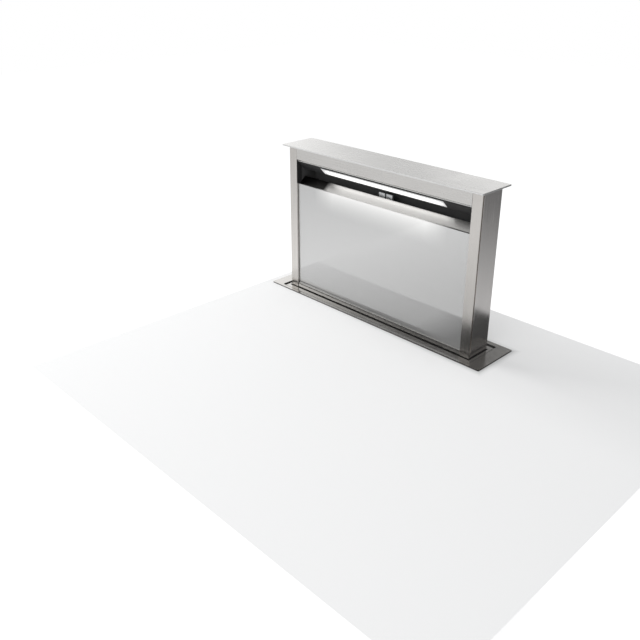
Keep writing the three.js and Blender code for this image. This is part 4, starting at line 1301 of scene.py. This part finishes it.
@dataclass(frozen=True)
class CameraView:
    """Place and lens of the camera."""

    place: Vec
    yaw: float
    pitch: float
    focal_px: float
    shift: tuple[float, float]
    frame_px: float = 640.0
    sensor: float = 36.0
    clip: Span = (0.01, 100.0)

    def build(self) -> None:
        """Builds the camera and makes it the scene's own."""
        data = bpy.data.cameras.new("view_camera")
        data.sensor_width = self.sensor
        data.lens = self.focal_px * self.sensor / self.frame_px
        data.shift_x, data.shift_y = self.shift
        data.clip_start, data.clip_end = self.clip
        yaw, pitch = math.radians(self.yaw), math.radians(self.pitch)
        level = math.cos(pitch)
        ahead = Vector((-math.sin(yaw) * level, math.cos(yaw) * level, -math.sin(pitch)))
        across = Vector((math.cos(yaw), math.sin(yaw), 0.0))
        turn = Matrix((across, across.cross(ahead), -ahead)).transposed().to_4x4()
        camera = bpy.data.objects.new("view_camera", data)
        camera.matrix_world = Matrix.Translation(self.place) @ turn
        bpy.context.scene.collection.objects.link(camera)
        bpy.context.scene.camera = camera


@dataclass(frozen=True)
class PaleSurface:
    """Pale stage surface: white to the camera, with shaded zones in what metal mirrors of it."""

    name: str
    albedo: float = 0.8
    lift: float = 0.3
    mirrored_lift: float = 0.16
    one_sided: bool = False

    def zone(self, tree: Tree) -> Socket:
        """Returns how shaded the surface is where it is mirrored."""
        raise NotImplementedError

    def contact(self, tree: Tree) -> Value:
        """Returns how shaded the surface is to everything; a plain surface has none."""
        return 0.0

    def build(self) -> bpy.types.Material:
        """Builds the surface's material.

        Returns:
            The material.
        """
        material = bpy.data.materials.new(self.name)
        material.use_nodes = True
        tree = Tree(material.node_tree)
        tree.tree.nodes.clear()
        path = tree.add("ShaderNodeLightPath").outputs
        direct = tree.math("MAXIMUM", path["Is Camera Ray"], path["Is Transmission Ray"])
        mirrored = path["Is Glossy Ray"]
        free = tree.rest(self.contact(tree))
        clear = tree.rest(tree.math("MULTIPLY", mirrored, self.zone(tree)))
        clear = tree.math("MULTIPLY", clear, free)
        shade = tree.math("MULTIPLY", clear, self.albedo)
        diffuse = tree.add("ShaderNodeBsdfDiffuse", tree.mix(shade, BLACK, WHITE))
        lift = tree.math("MULTIPLY", tree.math("MULTIPLY", mirrored, self.mirrored_lift), clear)
        seen = tree.math("MULTIPLY", tree.math("MULTIPLY", direct, self.lift), free)
        glow = tree.add("ShaderNodeEmission")
        tree.feed(glow.inputs["Strength"], tree.math("ADD", seen, lift))
        face = tree.add("ShaderNodeAddShader", diffuse.outputs[0], glow.outputs[0]).outputs[0]
        if self.one_sided:
            away = tree.add("ShaderNodeNewGeometry").outputs["Backfacing"]
            clear_side = tree.add("ShaderNodeBsdfTransparent").outputs[0]
            face = tree.add("ShaderNodeMixShader", away, face, clear_side).outputs[0]
        tree.add("ShaderNodeOutputMaterial", face)
        return material


@dataclass(frozen=True)
class WorktopSurface(PaleSurface):
    """Worktop that is shaded in a strip round the trim, more to the right."""

    strip: float = 0.1
    strip_fade: float = 0.012
    slope_x: Span = (-0.3, 0.1)
    slope_shade: Span = (0.12, 0.5)
    step_x: Span = (0.08, 0.17)
    step_shade: float = 0.42
    wide_shade: float = 0.26
    touch: float = 0.016
    touch_curve: float = 1.6
    touch_start: float = -0.1
    touch_shade: Span = (0.03, 0.34)
    trim_half_x: float = 0.282
    trim_half_y: float = 0.0545
    trim_middle_y: float = -0.0657

    def reach(self, tree: Tree) -> tuple[Socket, Socket]:
        """Finds where a point lies against the trim.

        Args:
            tree: The material's tree.

        Returns:
            The distance ahead of, behind or right of the trim's rim, and the X place.
        """
        axes = tree.axes()
        beside = tree.math("SUBTRACT", axes["X"], self.trim_half_x)
        centred = tree.math("ABSOLUTE", tree.math("ADD", axes["Y"], -self.trim_middle_y))
        ahead = tree.math("SUBTRACT", centred, self.trim_half_y)
        return tree.math("MAXIMUM", beside, ahead), axes["X"]

    def zone(self, tree: Tree) -> Socket:
        """Shades a strip round the trim, and a little all that lies to the right.

        Args:
            tree: The material's tree.

        Returns:
            The shade's socket.
        """
        reach, across = self.reach(tree)
        near = tree.range(reach, (self.strip, self.strip + self.strip_fade), (1.0, 0.0))
        slope = tree.range(across, self.slope_x, self.slope_shade)
        step = tree.range(across, self.step_x, (0.0, self.step_shade))
        strip = tree.math("MULTIPLY", near, tree.math("ADD", slope, step))
        return tree.math("MAXIMUM", strip, tree.range(across, self.slope_x, (0.0, self.wide_shade)))

    def contact(self, tree: Tree) -> Socket:
        """Shades the soft contact line round the trim, deepest on the right.

        Args:
            tree: The material's tree.

        Returns:
            The shade's socket.
        """
        reach, across = self.reach(tree)
        near = tree.range(reach, (0.0, self.touch), (1.0, 0.0))
        depth = tree.range(across, (self.touch_start, self.trim_half_x), self.touch_shade)
        return tree.math("MULTIPLY", tree.math("POWER", near, self.touch_curve), depth)


@dataclass(frozen=True)
class FloorSurface(PaleSurface):
    """Floor that darkens with distance, most behind and to the right."""

    dark_heading: Vec = (0.51, 0.86, 0.0)
    heading_shade: Span = (0.05, 0.95)
    fade: Span = (1.0, 3.4)
    fade_shade: Span = (0.1, 0.84)

    def zone(self, tree: Tree) -> Socket:
        """Shades the floor from its distance and direction.

        Args:
            tree: The material's tree.

        Returns:
            The shade's socket.
        """
        place = tree.place()
        toward = tree.vector("DOT_PRODUCT", tree.vector("NORMALIZE", place), self.dark_heading)
        most = tree.range(toward, (-1.0, 1.0), self.heading_shade)
        far = tree.range(tree.vector("LENGTH", place), self.fade, self.fade_shade)
        return tree.math("MULTIPLY", most, far)


@dataclass(frozen=True)
class DarkPatch:
    """Dark patch of the world that only metal mirrors.

    Attributes:
        toward: Direction of its middle.
        rims: Cosines of the angles at which it is full and has faded out.
        depth: How dark it is, from 0 to 1.
    """

    toward: Vec
    rims: Span
    depth: float

    def shade(self, tree: Tree, place: Socket) -> Socket:
        """Returns the patch's shade in the direction that is looked in."""
        toward = tree.vector("DOT_PRODUCT", place, Vector(self.toward).normalized())
        return tree.range(toward, tuple(reversed(self.rims)), (0.0, self.depth))


@dataclass(frozen=True)
class SoftLamp:
    """Square soft lamp that metal doesn't mirror.

    Attributes:
        name: Its name.
        place: Where it is.
        size: Its side in metres.
        power: Its power in watts.
    """

    name: str
    place: Vec
    size: float
    power: float

    def build(self, aim: Vec) -> None:
        """Builds the lamp.

        Args:
            aim: Point that it faces.
        """
        data = bpy.data.lights.new(self.name, "AREA")
        data.size = self.size
        data.energy = self.power
        made = bpy.data.objects.new(self.name, data)
        made.visible_glossy = False
        made.location = self.place
        toward = Vector(aim) - Vector(self.place)
        made.rotation_euler = toward.to_track_quat("-Z", "Y").to_euler()
        bpy.context.scene.collection.objects.link(made)


@dataclass
class Studio:
    """Worktop face, floor, soft lamps, world and camera."""

    top_low: tuple[float, float] = (-0.30, -0.69)
    top_high: tuple[float, float] = (0.63, 0.115)
    hole_x: Span = (-262.0, 262.0)
    hole_y: Span = (-21.5, 80.5)
    top_height: float = TRIM_TOP - 2.45 * MM
    floor_half: float = 9.0
    aim: Vec = (0.0, 0.0, 0.8)
    lamps: tuple[SoftLamp, ...] = (
        SoftLamp("key_lamp", (-2.3, -0.5, 2.5), 1.6, 42.0),
        SoftLamp("front_lamp", (0.5, -2.7, 2.3), 2.2, 20.0),
    )
    even_light: Rgb = (0.52, 0.525, 0.53)
    mirrored_light: Rgb = (1.0, 0.995, 0.985)
    patches: tuple[DarkPatch, ...] = (
        DarkPatch((-0.42, 0.68, 0.6), (0.98, 0.945), 0.85),
        DarkPatch((0.45, 0.72, 0.52), (0.93, 0.8), 0.92),
        DarkPatch((-0.42, -0.76, 0.5), (0.978, 0.945), 0.9),
        DarkPatch((0.9, -0.3, 0.1), (0.8, -0.6), 0.55),
        DarkPatch((-0.63, 0.734, 0.252), (0.9995, 0.9935), 0.45),
    )
    camera: CameraView = field(
        default_factory=lambda: CameraView(
            place=at(928.5, -1051.0, 688.7),
            yaw=45.79,
            pitch=24.02,
            focal_px=752.91,
            shift=(0.0, -0.05),
        )
    )

    def worktop(self) -> None:
        """Builds the worktop's upper face with its cut-out."""
        hole_low, hole_high = (at(x, y, 0)[:2] for x, y in zip(self.hole_x, self.hole_y))
        mesh = bmesh.new()
        loops = []
        for (x0, y0), (x1, y1) in ((self.top_low, self.top_high), (hole_low, hole_high)):
            corners = ((x0, y0), (x1, y0), (x1, y1), (x0, y1))
            loops.append([mesh.verts.new((x, y, self.top_height)) for x, y in corners])
        join_loops(mesh, loops, False)
        surface = WorktopSurface("pale_worktop", lift=0.2, one_sided=True)
        self.link("worktop", mesh, surface.build())

    def floor(self) -> None:
        """Builds the floor."""
        half = self.floor_half
        corners = ((-half, -half, 0), (half, -half, 0), (half, half, 0), (-half, half, 0))
        mesh = bmesh.new()
        mesh.faces.new([mesh.verts.new(p) for p in corners])
        surface = FloorSurface("pale_floor_paint", lift=0.6, mirrored_lift=0.24)
        self.link("pale_floor", mesh, surface.build())

    def link(self, name: str, mesh: bmesh.types.BMesh, material: bpy.types.Material) -> None:
        """Links a stage object.

        Args:
            name: Object's name.
            mesh: Edit mesh, freed here.
            material: Its material.
        """
        data = bpy.data.meshes.new(name)
        mesh.to_mesh(data)
        mesh.free()
        data.materials.append(material)
        made = bpy.data.objects.new(name, data)
        bpy.context.scene.collection.objects.link(made)

    def world(self) -> None:
        """Builds the world: white to the eye, a graded studio to metal, even light to the rest."""
        world = bpy.data.worlds.new("soft_studio")
        bpy.context.scene.world = world
        world.use_nodes = True
        tree = Tree(world.node_tree)
        tree.tree.nodes.clear()
        path = tree.add("ShaderNodeLightPath").outputs
        place = tree.place("Generated")
        shade, *others = (patch.shade(tree, place) for patch in self.patches)
        for other in others:
            shade = tree.math("MAXIMUM", shade, other)
        mirror = tree.mix(shade, self.mirrored_light, BLACK)
        even = tree.mix(path["Is Glossy Ray"], self.even_light, mirror)
        seen = tree.math("MAXIMUM", path["Is Camera Ray"], path["Is Transmission Ray"])
        background = tree.add("ShaderNodeBackground", tree.mix(seen, even, WHITE))
        tree.add("ShaderNodeOutputWorld", background.outputs[0])

    def build(self) -> None:
        """Builds the whole studio."""
        self.worktop()
        self.floor()
        self.world()
        for lamp in self.lamps:
            lamp.build(self.aim)
        self.camera.build()
        bpy.context.scene.view_settings.view_transform = "Standard"


def main() -> None:
    """Loads the frame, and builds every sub-assembly and the studio."""
    logging.basicConfig(level=logging.INFO, format="%(name)s: %(message)s")
    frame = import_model()
    nodes = frame["nodes"]
    kinds = (
        TowerShell, SuctionMouth, GlassFront, WorktopSeat, LiftGear, Cabinet, ElectricBox, Blower
    )
    for sub_assembly in (*(kind(nodes) for kind in kinds), Studio()):
        sub_assembly.build()
        log.info("built %s", type(sub_assembly).__name__)


if __name__ == "__main__":
    main()
